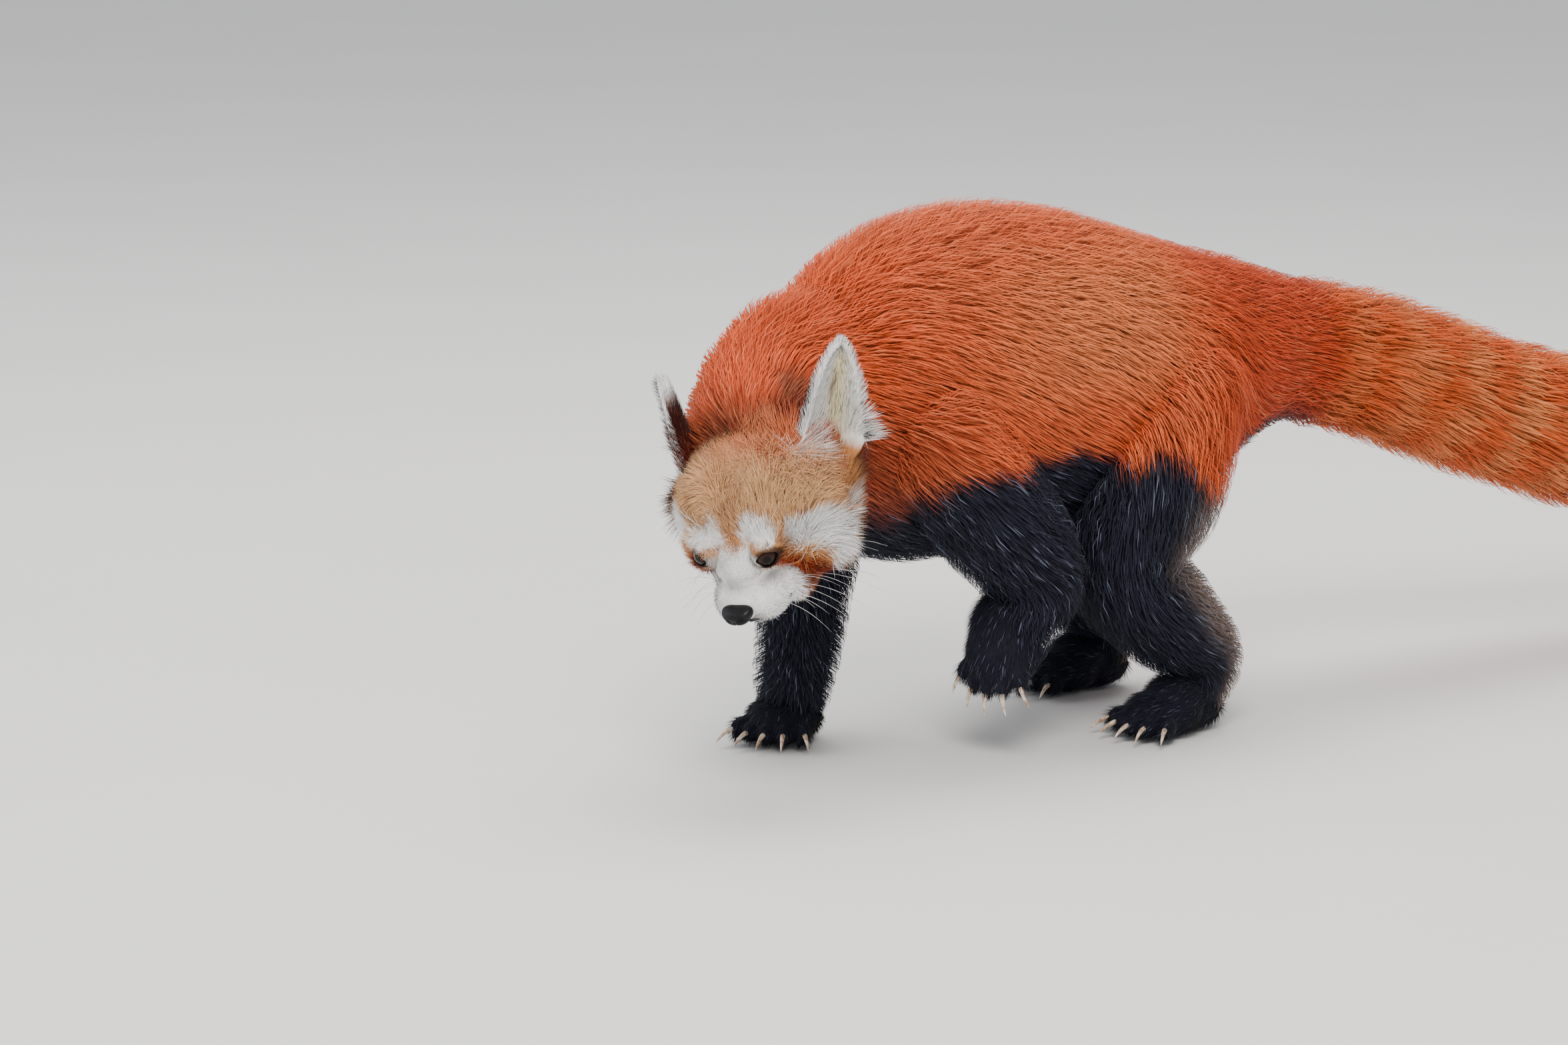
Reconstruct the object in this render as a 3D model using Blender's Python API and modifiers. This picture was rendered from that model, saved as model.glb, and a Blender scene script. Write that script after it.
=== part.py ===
# A red panda walking with its head lowered and turned to its left, life size, in metres.
# The body points along -X, its left side faces -Y, and the floor is z = 0.
import math
import random

import bmesh
import bpy
import numpy as np
from mathutils import Matrix, Quaternion, Vector
from mathutils.bvhtree import BVHTree

GAP = 0.0003
SEED = 41
BODY_TRIANGLES = 1950
HEAD_TRIANGLES = 1150
PAW_TRIANGLES = 210

# Torso stations: x, height of the middle, half height, half width.
TORSO = (
    (-0.190, 0.242, 0.050, 0.046),
    (-0.170, 0.238, 0.072, 0.060),
    (-0.138, 0.232, 0.091, 0.074),
    (-0.100, 0.233, 0.108, 0.081),
    (-0.050, 0.240, 0.118, 0.086),
    (0.010, 0.239, 0.116, 0.087),
    (0.070, 0.236, 0.104, 0.085),
    (0.125, 0.237, 0.087, 0.078),
    (0.175, 0.241, 0.069, 0.064),
    (0.215, 0.241, 0.056, 0.052),
)
NECK = (
    (-0.150, 0.000, 0.240, 0.070),
    (-0.185, -0.016, 0.228, 0.059),
    (-0.214, -0.044, 0.211, 0.052),
)

# Tail: the middle line from rump to tip, the core's radius and the radius at the tips of its coat.
TAIL_LINE = (
    (0.185, 0.0, 0.245),
    (0.300, 0.0, 0.223),
    (0.420, 0.0, 0.181),
    (0.525, 0.0, 0.150),
    (0.625, 0.0, 0.138),
)
TAIL_CORE = 0.036
TAIL_REACH = 0.057
TAIL_PARTINGS = (0.12, 0.36, 0.58, 0.80)
TAIL_ROWS = (0.005, 0.125, 0.245, 0.365, 0.475, 0.585, 0.69, 0.805, 0.885, 0.955)
TAIL_ROUND = 6
TAIL_LOCK = 0.074

# Head: the middle of the skull, how far the face turns left of straight ahead and tips down.
HEAD_AT = Vector((-0.2303, -0.0714, 0.1877))
HEAD_TURN = math.radians(33)
HEAD_TIP = math.radians(43.5)
HEAD_ROLL = math.radians(7)
EYE_RADIUS = 0.0080
EYE_AT = (0.0453, 0.0210, 0.0119)
NOSE_AT = (0.0750, 0.0, -0.0135)
NOSE_SIZE = (0.0080, 0.0105, 0.0070)
EAR_HEIGHT = 0.070
EAR_HALF_WIDTH = 0.027

# Each ear, in the head's axes: the foot, the way it rises and the way its cup faces. The right is turned out.
EARS = {
    "ear_left": ((-0.0342, 0.0451, 0.0186), (-0.720, 0.159, 0.665), (0.474, 0.634, 0.459)),
    "ear_right": ((-0.0137, -0.0592, 0.0173), (-0.387, -0.016, 0.922), (0.477, -0.858, 0.153)),
}
# Where an ear's node begins: how far behind its edge and how high above its foot.
EAR_PARTINGS = {"ear_left": (-0.021, 0.018), "ear_right": (-0.0205, 0.026)}

# Forms of the head, in its own axes: middle (forward, left, up), radii, turn about the up axis.
SKULL_FORMS = (
    ((0.000, 0.000, 0.004), (0.053, 0.060, 0.045), 0),
    ((-0.030, 0.000, 0.002), (0.040, 0.050, 0.046), 0),
    ((0.034, 0.000, 0.002), (0.030, 0.022, 0.020), 0),
    ((0.048, 0.000, -0.016), (0.029, 0.0195, 0.016), 0),
    ((0.038, 0.000, -0.029), (0.028, 0.016, 0.010), 0),
)
PAIRED_FORMS = (
    ((0.006, 0.0285, -0.012), (0.040, 0.027, 0.028), 20),
    ((0.030, 0.0220, 0.016), (0.020, 0.016, 0.013), 0),
    ((0.051, 0.0110, -0.020), (0.022, 0.015, 0.014), 0),
    ((0.028, 0.0185, -0.024), (0.028, 0.019, 0.0172), 0),
)

# Limbs: x, y, z and radius at each station, from the body down.
LIMBS = {
    "foreleg_left": (
        (-0.097, -0.050, 0.215, 0.052),
        (-0.056, -0.062, 0.168, 0.047),
        (-0.021, -0.066, 0.122, 0.038),
        (-0.030, -0.065, 0.092, 0.030),
        (-0.040, -0.063, 0.068, 0.025),
    ),
    "foreleg_right": (
        (-0.110, 0.045, 0.215, 0.052),
        (-0.112, 0.052, 0.160, 0.042),
        (-0.120, 0.051, 0.110, 0.035),
        (-0.126, 0.049, 0.070, 0.032),
        (-0.132, 0.048, 0.035, 0.028),
    ),
    "hindleg_left": (
        (0.105, -0.035, 0.225, 0.062),
        (0.076, -0.055, 0.172, 0.060),
        (0.055, -0.062, 0.122, 0.045),
        (0.086, -0.066, 0.082, 0.040),
        (0.118, -0.070, 0.052, 0.029),
        (0.113, -0.070, 0.026, 0.023),
    ),
    "hindleg_right": (
        (0.110, 0.035, 0.225, 0.062),
        (0.092, 0.056, 0.172, 0.058),
        (0.075, 0.063, 0.122, 0.044),
        (0.108, 0.066, 0.082, 0.039),
        (0.138, 0.068, 0.052, 0.029),
        (0.134, 0.068, 0.026, 0.023),
    ),
}

# Where the legs are parted: a box round each lower leg, and a leaning ball round each upper one.
FOREARMS = {
    "forearm_left": ((-0.080, -0.125, 0.020), (0.024, -0.020, 0.118)),
    "forearm_right": ((-0.200, 0.000, 0.020), (-0.060, 0.120, 0.118)),
    "shin_left": ((0.000, -0.125, 0.020), (0.190, -0.010, 0.104)),
    "shin_right": ((0.010, 0.010, 0.020), (0.210, 0.125, 0.104)),
}
UPPER_LEGS = {
    "upper_arm_left": ((-0.055, -0.088, 0.150), (0.066, 0.052, 0.090), 30),
    "upper_arm_right": ((-0.112, 0.080, 0.150), (0.058, 0.052, 0.090), 0),
    "thigh_left": ((0.085, -0.078, 0.150), (0.076, 0.052, 0.098), 0),
    "thigh_right": ((0.098, 0.078, 0.150), (0.076, 0.052, 0.098), 0),
}

# Paws: middle of the palm on the floor, turn left of straight ahead, downward tip, height above the floor.
PAWS = {
    "forepaw_left": ((-0.032, -0.062, 0.066), 14, 58),
    "forepaw_right": ((-0.140, 0.048, 0.0), 34, 0),
    "hindpaw_left": ((0.082, -0.074, 0.0), 8, 0),
    "hindpaw_right": ((0.104, 0.070, 0.0), -8, 0),
}
PAW_HALF_WIDTH = 0.027
PAW_HEIGHT = 0.034
TOES = 5

COLOURS = {
    "red_coat": (0.38, 0.070, 0.018),
    "black_coat": (0.012, 0.013, 0.020),
    "tail_coat": (0.45, 0.110, 0.030),
    "face_coat": (0.55, 0.300, 0.160),
    "ear_coat": (0.88, 0.86, 0.80),
    "nose_leather": (0.012, 0.012, 0.014),
    "eye": (0.045, 0.018, 0.012),
    "claw_horn": (0.62, 0.52, 0.40),
}


def clear_scene():
    for obj in list(bpy.data.objects):
        bpy.data.objects.remove(obj)
    for name in ("red_panda", "helpers"):
        bpy.context.scene.collection.children.link(bpy.data.collections.new(name))


def material(name):
    made = bpy.data.materials.new(name)
    made.use_nodes = True
    shader = made.node_tree.nodes["Principled BSDF"]
    shader.inputs["Base Color"].default_value = (*COLOURS[name], 1)
    shader.inputs["Metallic"].default_value = 0
    glossy = name in ("eye", "nose_leather")
    shader.inputs["Roughness"].default_value = 0.15 if glossy else 0.85
    return made


def new_object(name, bm, group="helpers"):
    mesh = bpy.data.meshes.new(name)
    bm.normal_update()
    bmesh.ops.recalc_face_normals(bm, faces=bm.faces)
    bm.to_mesh(mesh)
    bm.free()
    obj = bpy.data.objects.new(name, mesh)
    bpy.data.collections[group].objects.link(obj)
    return obj


def apply_modifiers(obj):
    graph = bpy.context.evaluated_depsgraph_get()
    mesh = bpy.data.meshes.new_from_object(obj.evaluated_get(graph))
    obj.modifiers.clear()
    old = obj.data
    obj.data = mesh
    bpy.data.meshes.remove(old)
    return obj


def boolean(obj, operation, operand, solver="MANIFOLD"):
    modifier = obj.modifiers.new("join", "BOOLEAN")
    modifier.operation = operation
    modifier.solver = solver
    if isinstance(operand, bpy.types.Collection):
        modifier.operand_type = "COLLECTION"
        modifier.collection = operand
    else:
        modifier.object = operand
    return apply_modifiers(obj)


def drop(obj):
    bpy.data.objects.remove(obj)


def copied(obj, name):
    made = obj.copy()
    made.data = obj.data.copy()
    made.name = name
    bpy.data.collections["helpers"].objects.link(made)
    return made


def keep_largest(obj):
    bm = bmesh.new()
    bm.from_mesh(obj.data)
    bm.faces.ensure_lookup_table()
    left = set(bm.faces)
    best, best_volume = [], 0.0
    while left:
        stack = [left.pop()]
        shell = list(stack)
        while stack:
            for edge in stack.pop().edges:
                for face in edge.link_faces:
                    if face in left:
                        left.remove(face)
                        stack.append(face)
                        shell.append(face)
        volume = 0.0
        for face in shell:
            corners = [v.co for v in face.verts]
            for second, third in zip(corners[1:], corners[2:]):
                volume += corners[0].dot(second.cross(third)) / 6
        if abs(volume) > best_volume:
            best, best_volume = shell, abs(volume)
    kept = set(best)
    bmesh.ops.delete(bm, geom=[f for f in bm.faces if f not in kept], context="FACES")
    bmesh.ops.delete(bm, geom=[v for v in bm.verts if not v.link_faces], context="VERTS")
    bm.to_mesh(obj.data)
    bm.free()
    return obj


# Shapes

def add_ellipsoid(bm, middle, radii, turn=None, segments=24, rings=14):
    turn = turn.to_matrix().to_4x4() if turn else Matrix.Identity(4)
    place = Matrix.Translation(middle) @ turn @ Matrix.Diagonal((*radii, 1))
    bmesh.ops.create_uvsphere(bm, u_segments=segments, v_segments=rings, radius=1, matrix=place)


def add_loft(bm, rings):
    """Closes a row of equal rings of points into a solid, with a fan over each end."""
    rows = [[bm.verts.new(point) for point in ring] for ring in rings]
    count = len(rows[0])
    for row, after in zip(rows, rows[1:]):
        for k in range(count):
            n = (k + 1) % count
            bm.faces.new((row[k], row[n], after[n], after[k]))
    bm.faces.new(rows[0][::-1])
    bm.faces.new(rows[-1])


def tube_rings(stations, sides=20, upright=Vector((0, 0, 1))):
    """stations are (middle, half height, half width). Rounded ends are added past both of its ends."""
    middles = [Vector(middle) for middle, _, _ in stations]
    rings = []
    for i, (middle, tall, wide) in enumerate(stations):
        ahead = middles[min(i + 1, len(middles) - 1)] - middles[max(i - 1, 0)]
        ahead.normalize()
        side = ahead.cross(upright)
        if side.length < 0.1:
            side = ahead.cross(Vector((1, 0, 0)))
        side.normalize()
        top = side.cross(ahead)
        steps = [(0.0, 1.0)]
        if i == 0:
            steps = [(-0.94, 0.3), (-0.72, 0.7), (-0.38, 0.92), (0.0, 1.0)]
        if i == len(stations) - 1:
            steps = [(0.0, 1.0), (0.38, 0.92), (0.72, 0.7), (0.94, 0.3)]
        reach = (tall + wide) / 2 * 0.85
        for along, share in steps:
            ring = []
            for k in range(sides):
                angle = math.tau * k / sides
                ring.append(
                    Vector(middle)
                    + ahead * along * reach
                    + side * math.cos(angle) * wide * share
                    + top * math.sin(angle) * tall * share
                )
            rings.append(ring)
    return rings


def smooth_line(points, count):
    """A Catmull-Rom curve of count points through the given ones."""
    points = [np.array(point, float) for point in points]
    ends = [2 * points[0] - points[1], *points, 2 * points[-1] - points[-2]]
    made = []
    for i in range(count):
        t = i / (count - 1) * (len(points) - 1)
        k = min(int(t), len(points) - 2)
        t -= k
        a, b, c, d = ends[k : k + 4]
        bend = (2 * a - 5 * b + 4 * c - d) * t**2 + (3 * b - a - 3 * c + d) * t**3
        made.append(0.5 * (2 * b + (c - a) * t + bend))
    return made


def fused(name, bm, voxel, smoothing, faces):
    """One skin over the shapes in bm, smoothed and brought down to about this many triangles."""
    obj = new_object(name, bm)
    remesh = obj.modifiers.new("fuse", "REMESH")
    remesh.mode = "VOXEL"
    remesh.voxel_size = voxel
    smooth = obj.modifiers.new("smooth", "SMOOTH")
    smooth.factor = 0.6
    smooth.iterations = smoothing
    apply_modifiers(obj)
    obj.modifiers.new("triangles", "TRIANGULATE")
    apply_modifiers(obj)
    lighter = obj.modifiers.new("lighter", "DECIMATE")
    lighter.ratio = min(1.0, faces / len(obj.data.polygons))
    return apply_modifiers(obj)


# Axes of the head

def head_axes():
    level = Vector((-math.cos(HEAD_TURN), -math.sin(HEAD_TURN), 0))
    ahead = level * math.cos(HEAD_TIP) - Vector((0, 0, math.sin(HEAD_TIP)))
    left = Quaternion(ahead, HEAD_ROLL) @ Vector((0, 0, 1)).cross(ahead).normalized()
    return ahead, left, ahead.cross(left)


def head_matrix():
    ahead, left, up = head_axes()
    turn = Matrix((ahead, left, up)).transposed().to_4x4()
    return Matrix.Translation(HEAD_AT) @ turn


HEAD = head_matrix()


# Forms before the coat

def tail_core(share):
    """The core's radius at this share of the tail: it narrows over the last quarter."""
    return TAIL_CORE * (1 - 0.55 * max(0.0, share / 0.75 - 1) ** 1.4 * 3 ** 0.4)


def body_form():
    bm = bmesh.new()
    rows = smooth_line(TORSO, 24)
    add_loft(bm, tube_rings([((x, 0, z), tall, wide) for x, z, tall, wide in rows], 28))
    add_loft(bm, tube_rings([((x, y, z), r, r) for x, y, z, r in smooth_line(NECK, 6)], 24))
    for name, stations in LIMBS.items():
        rows = smooth_line(stations, 16)
        rings = [((x, y, z), r, r * 0.92) for x, y, z, r in rows]
        add_loft(bm, tube_rings(rings, 20, Vector((0, 1, 0))))
    line = smooth_line(TAIL_LINE, 18)
    rings = [(Vector(point), tail_core(k / 17), tail_core(k / 17)) for k, point in enumerate(line)]
    add_loft(bm, tube_rings(rings, 16))
    return fused("body", bm, 0.0045, 8, BODY_TRIANGLES)


def head_form():
    bm = bmesh.new()
    for middle, radii, turn in SKULL_FORMS:
        add_ellipsoid(bm, middle, radii)
    for middle, radii, turn in PAIRED_FORMS:
        for side in (1, -1):
            place = (middle[0], middle[1] * side, middle[2])
            add_ellipsoid(bm, place, radii, Quaternion((0, 0, 1), math.radians(turn * side)))
    bm.transform(HEAD)
    return fused("head", bm, 0.0020, 7, HEAD_TRIANGLES)


def paw_matrix(name):
    (x, y, z), turn, tip = PAWS[name]
    turned = Matrix.Rotation(math.radians(180 + turn), 4, "Z") @ Matrix.Rotation(math.radians(tip), 4, "Y")
    return Matrix.Translation((x, y, z)) @ turned


def toe_places():
    """Each toe of a paw: its middle and the direction that it points in, in the paw's own axes."""
    places = []
    for k in range(TOES):
        across = 2 * k / (TOES - 1) - 1
        angle = math.radians(-34 * across)
        reach = 0.022 - 0.007 * across**2
        middle = Vector((reach, -across * (PAW_HALF_WIDTH - 0.007), 0.0105))
        places.append((middle, Vector((math.cos(angle), math.sin(angle), 0))))
    return places


def paw_form(name):
    bm = bmesh.new()
    add_ellipsoid(bm, (-0.002, 0, 0.015), (0.030, PAW_HALF_WIDTH, 0.018))
    add_ellipsoid(bm, (-0.014, 0, 0.023), (0.024, 0.023, 0.018))
    if name.startswith("hind"):
        add_ellipsoid(bm, (-0.026, 0, 0.015), (0.028, 0.020, 0.018))
    for middle, ahead in toe_places():
        turn = Vector((1, 0, 0)).rotation_difference(ahead)
        add_ellipsoid(bm, middle, (0.0150, 0.0078, 0.0105), turn, 16, 10)
    obj = fused(name, bm, 0.0018, 4, PAW_TRIANGLES)
    under = box_region(Matrix.Identity(4), (-0.1, -0.1, -0.05), (0.1, 0.1, 0.0))(0.0)
    boolean(obj, "DIFFERENCE", under)
    drop(under)
    obj.data.transform(paw_matrix(name))
    return obj


def ear_matrix(name):
    """An ear's own axes: x is the way its cup faces, y runs across it, z rises to its tip."""
    foot, rise, faces = (Vector(values) for values in EARS[name])
    turn = HEAD.to_3x3()
    rise = (turn @ rise).normalized()
    across = rise.cross(turn @ faces).normalized()
    axes = Matrix((across.cross(rise), across, rise)).transposed().to_4x4()
    return Matrix.Translation(HEAD @ foot) @ axes


def ear_form(name):
    """A cupped ear: each ring runs along its hollow front and back along its bulging rear."""
    bm = bmesh.new()
    rings = []
    columns, rows = 6, 8
    for i in range(rows):
        t = i / (rows - 1)
        height = -0.022 + (EAR_HEIGHT + 0.022) * t
        half = EAR_HALF_WIDTH * (1 - 0.60 * t) * math.sqrt(max(0.0, 1 - t**6)) + 0.0010
        bow = 0.013 * (1 - 0.6 * t)
        thick = 0.0085 * (1 - t) + 0.0035
        front, back = [], []
        for k in range(columns + 1):
            s = 2 * k / columns - 1
            hollow = -bow * (1 - s * s) if height > 0.002 else 0.0
            front.append(Vector((hollow, s * half, height)))
            back.append(Vector((-bow * (1 - s * s) - thick * (1 - 0.7 * s * s), s * half * 1.02, height)))
        rings.append(front + back[::-1])
    add_loft(bm, rings)
    bm.transform(ear_matrix(name))
    return new_object("ear", bm)


# Locks of the long coat

def add_lock(bm, root, flow, out, length, width, sink, rise):
    """A flat, tapered lock, ridged along its back. Its root is sunk, and it bends back along the coat."""
    flow = (flow - out * flow.dot(out)).normalized()
    side = flow.cross(out)
    rings = []
    for t, share in ((0.0, 0.62), (0.35, 1.0), (0.72, 0.74), (1.0, 0.08)):
        lift = (sink + rise) * math.sin(min(1.0, t * 1.5) * math.pi / 2) - sink - 0.4 * rise * t**3
        middle = root + flow * length * t + out * lift
        half = width / 2 * share
        ridge = middle + out * width * 0.15 * share
        edges = middle - out * width * 0.22 * share
        rings.append((edges + side * half, ridge, edges - side * half))
    add_loft(bm, rings)


def lock_object(*shape):
    bm = bmesh.new()
    add_lock(bm, *shape)
    return new_object("lock", bm)


def tail_locks(chance):
    """Rings of locks along the tail, each ring's between those of the ring before it."""
    made = []
    line = smooth_line(TAIL_LINE, 61)
    whole = sum((Vector(a) - Vector(b)).length for a, b in zip(line, line[1:]))
    for row, share in enumerate(TAIL_ROWS):
        room = whole * (min([p for p in TAIL_PARTINGS if p > share] or [1.2]) - share) - 0.002
        core = tail_core(share)
        closing = 0.5 * max(0.0, share / 0.75 - 1)
        k = int(share * 60)
        here = Vector(line[k])
        ahead = (Vector(line[k + 1]) - here).normalized()
        side = Vector((0, 1, 0))
        top = ahead.cross(side) * -1
        around = TAIL_ROUND if share < TAIL_PARTINGS[-1] else TAIL_ROUND - 1
        for n in range(around):
            angle = math.tau * (n + 0.5 * (row % 2) + chance.uniform(-0.12, 0.12)) / around
            out = side * math.cos(angle) + top * math.sin(angle)
            length = min(TAIL_LOCK * chance.uniform(0.88, 1.12) * (1 - closing), room)
            width = 0.044 * chance.uniform(0.9, 1.1) * (0.4 + 0.6 * core / TAIL_CORE)
            rise = (TAIL_REACH - core) * chance.uniform(0.72, 1.0) - 0.003
            lie = (ahead - out * closing * 1.6).normalized()
            lift = (out + ahead * closing * 1.6).normalized()
            made.append(lock_object(here + out * core, lie, lift, length, width, 0.010, rise * (1 - closing)))
    return made


def fringe_locks(tree, chance):
    """Locks along each fringe: a root is where a line towards the heart of the form meets the skin."""
    made = []
    for (start, end, heart), flow, (count, length, width, rise) in fringes():
        for k in range(count):
            aim = start.lerp(end, (k + 0.5) / count)
            root, out = tree.ray_cast(aim, (heart - aim).normalized())[:2]
            if root is None:
                continue
            size = chance.uniform(0.85, 1.15)
            lie = flow + Vector([chance.uniform(-0.12, 0.12) for _ in range(3)])
            broad = width * chance.uniform(0.9, 1.1)
            made.append(lock_object(root, lie, out, length * size, broad, 0.008, rise * size))
    return made


# Fringes that both sides of the body have, given for the left: first and last aim, the heart aimed at,
# the lie, and the number, length, width and rise of the locks.
PAIRED_FRINGES = {
    "breeches": ((0.25, -0.085, 0.200), (0.25, -0.080, 0.075), (0.095, -0.055, 0.19), (0.55, 0, -0.8),
                 (5, 0.036, 0.030, 0.005)),
    "belly": ((-0.055, -0.09, 0.02), (0.045, -0.09, 0.02), (0.0, -0.02, 0.20), (0.75, 0, -0.45),
              (4, 0.044, 0.032, 0.007)),
    "shoulder": ((-0.20, -0.20, 0.27), (-0.175, -0.20, 0.14), (-0.15, 0, 0.225), (0.8, 0, -0.5),
                 (3, 0.048, 0.036, 0.005)),
    "tail root": ((0.185, -0.20, 0.30), (0.185, -0.12, 0.10), (0.185, 0, 0.240), (1.0, 0, -0.25),
                  (3, 0.056, 0.040, 0.004)),
}
SINGLE_FRINGES = {
    "throat": ((-0.33, 0.02, 0.13), (-0.14, 0.0, 0.0), (-0.13, 0, 0.22), (0.5, 0, -0.8),
               (4, 0.042, 0.034, 0.006)),
    "left elbow": ((0.15, -0.066, 0.160), (0.15, -0.066, 0.110), (-0.03, -0.064, 0.125), (0.3, 0, -0.9),
                   (2, 0.026, 0.026, 0.004)),
    "right forearm": ((0.02, 0.055, 0.135), (0.02, 0.055, 0.060), (-0.12, 0.050, 0.100), (0.4, 0, -0.9),
                      (3, 0.028, 0.024, 0.004)),
}
# Fringes of the head, in its own axes.
HEAD_FRINGES = {
    "cheek": ((-0.006, 0.11, 0.016), (0.010, 0.10, -0.064), (0.0, 0, -0.006), (-0.75, 0.70, -0.25),
              (4, 0.028, 0.023, 0.006)),
    "front of cheek": ((0.012, 0.11, -0.004), (0.028, 0.10, -0.064), (0.018, 0, -0.006), (-0.75, 0.70, -0.25),
                       (2, 0.028, 0.023, 0.006)),
    "foot of ear": ((-0.044, 0.113, 0.030), (-0.026, 0.114, 0.012), (-0.014, -0.007, 0.009),
                    (-0.44, 0.85, 0.0), (2, 0.030, 0.020, 0.008)),
}


def fringes():
    """Each fringe in the model's axes: its line of aims and their heart, its lie, and its sizes."""
    made = []
    mirror = Matrix.Diagonal((1, -1, 1, 1))
    tables = (
        (PAIRED_FRINGES, (Matrix.Identity(4), mirror)),
        (SINGLE_FRINGES, (Matrix.Identity(4),)),
        (HEAD_FRINGES, (HEAD, HEAD @ mirror)),
    )
    for table, places in tables:
        for start, end, heart, flow, sizes in table.values():
            for place in places:
                points = [place @ Vector(values) for values in (start, end, heart)]
                made.append((points, (place.to_3x3() @ Vector(flow)).normalized(), sizes))
    return made


def collection_of(name, objects):
    made = bpy.data.collections.new(name)
    bpy.context.scene.collection.children.link(made)
    for obj in objects:
        for old in list(obj.users_collection):
            old.objects.unlink(obj)
        made.objects.link(obj)
    return made


def join_all(obj, others):
    group = collection_of("joining", others)
    boolean(obj, "UNION", group)
    for other in list(group.objects):
        drop(other)
    bpy.data.collections.remove(group)
    return obj


# Regions that part the whole into nodes

def box_region(place, low, high):
    def build(extra):
        bm = bmesh.new()
        bmesh.ops.create_cube(bm, size=1)
        size = Vector(high) - Vector(low) + Vector((extra, extra, extra)) * 2
        middle = (Vector(high) + Vector(low)) / 2
        bm.transform(place @ Matrix.Translation(middle) @ Matrix.Diagonal((*size, 1)))
        return new_object("region", bm)
    return build


def ball_region(middle, radii, turn=None):
    def build(extra):
        bm = bmesh.new()
        grown = [radius + extra for radius in radii]
        add_ellipsoid(bm, middle, grown, turn, 14, 8)
        return new_object("region", bm)
    return build


def part_off(rest, name, region):
    """Moves what lies in the region from rest into a node of its own, with the gap between them."""
    piece = copied(rest, name)
    inside = region(0.0)
    boolean(piece, "INTERSECT", inside)
    outside = region(GAP)
    boolean(rest, "DIFFERENCE", outside)
    drop(inside)
    drop(outside)
    keep_largest(rest)
    return keep_largest(piece)


def tail_place(share):
    """Axes at this share of the tail's middle line: x runs to the tip."""
    line = smooth_line(TAIL_LINE, 41)
    k = min(int(share * 40), 39)
    here = Vector(line[k])
    ahead = (Vector(line[k + 1]) - here).normalized()
    side = Vector((0, 1, 0))
    turn = Matrix((ahead, side, ahead.cross(side))).transposed().to_4x4()
    return Matrix.Translation(here) @ turn


def regions():
    """The nodes in the order in which they are parted off, with the region of each."""
    made = []
    wide = 0.085
    for k, share in reversed(list(enumerate(TAIL_PARTINGS))):
        made.append((f"tail_{k + 1}", box_region(tail_place(share), (0, -wide, -wide), (0.5, wide, wide))))
    for name in EARS:
        back, foot = EAR_PARTINGS[name]
        made.append((name, box_region(ear_matrix(name), (back, -0.0265, foot), (0.012, 0.0265, 0.10))))
    made.append(("head", box_region(HEAD, (-0.030, -0.095, -0.064), (0.12, 0.095, 0.10))))
    for name in PAWS:
        low, high = (-0.075, -0.045, -0.020), (0.06, 0.045, PAW_HEIGHT)
        if PAWS[name][2] > 0:
            low, high = (-0.026, -0.040, -0.030), (0.06, 0.040, 0.060)
        made.append((name, box_region(paw_matrix(name), low, high)))
    for name, (low, high) in FOREARMS.items():
        made.append((name, box_region(Matrix.Identity(4), low, high)))
    for name, (middle, radii, lean) in UPPER_LEGS.items():
        made.append((name, ball_region(middle, radii, Quaternion((0, 1, 0), math.radians(lean)))))
    neck_place = Matrix.Translation((-0.160, 0.0, 0.235)) @ Matrix.Rotation(math.radians(-18), 4, "Y")
    made.append(("neck", box_region(neck_place, (-0.15, -0.12, -0.13), (0.0, 0.12, 0.13))))
    waist = Matrix.Translation((0.020, 0, 0.2))
    made.append(("torso_front", box_region(waist, (-0.3, -0.2, -0.2), (0, 0.2, 0.3))))
    return made


MATERIAL_OF = {
    "tail": "tail_coat",
    "ear": "ear_coat",
    "head": "face_coat",
    "forepaw": "black_coat",
    "hindpaw": "black_coat",
    "forearm": "black_coat",
    "upper": "black_coat",
    "shin": "black_coat",
    "thigh": "black_coat",
    "neck": "red_coat",
    "torso": "red_coat",
    "eye": "eye",
    "nose": "nose_leather",
    "claw": "claw_horn",
}


# Parts of the face and the claws

def almond(side):
    """The opening between the lids, as a solid that points out of the eye."""
    bm = bmesh.new()
    rings = []
    for depth in (0.0, 0.030):
        ring = []
        for k in range(12):
            angle = math.tau * k / 12
            across = 0.0066 * math.cos(angle)
            tall = 0.0050 * math.sin(angle) * (1 - 0.25 * abs(math.cos(angle)))
            ring.append(Vector((depth, across, tall)))
        rings.append(ring)
    add_loft(bm, rings)
    bm.transform(eye_matrix(side))
    return new_object("opening", bm)


def eye_matrix(side):
    """Axes of an eye: x is the way it looks."""
    ahead, left, up = head_axes()
    looks = (ahead * 0.82 + left * side * 0.50 + up * 0.22).normalized()
    across = up.cross(looks).normalized()
    turn = Matrix((looks, across, looks.cross(across))).transposed().to_4x4()
    return Matrix.Translation(HEAD @ Vector((EYE_AT[0], EYE_AT[1] * side, EYE_AT[2]))) @ turn


def ball(name, middle, radius, segments=14, rings=8):
    bm = bmesh.new()
    add_ellipsoid(bm, middle, (radius, radius, radius), None, segments, rings)
    return new_object(name, bm)


# The line between the lips: where lines from these places to the middle of the muzzle meet the skin.
MOUTH = (
    (0.090, 0.0, -0.0235),
    (0.085, 0.012, -0.0265),
    (0.062, 0.050, -0.0280),
    (0.038, 0.070, -0.0250),
    (0.022, 0.070, -0.0200),
)


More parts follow.
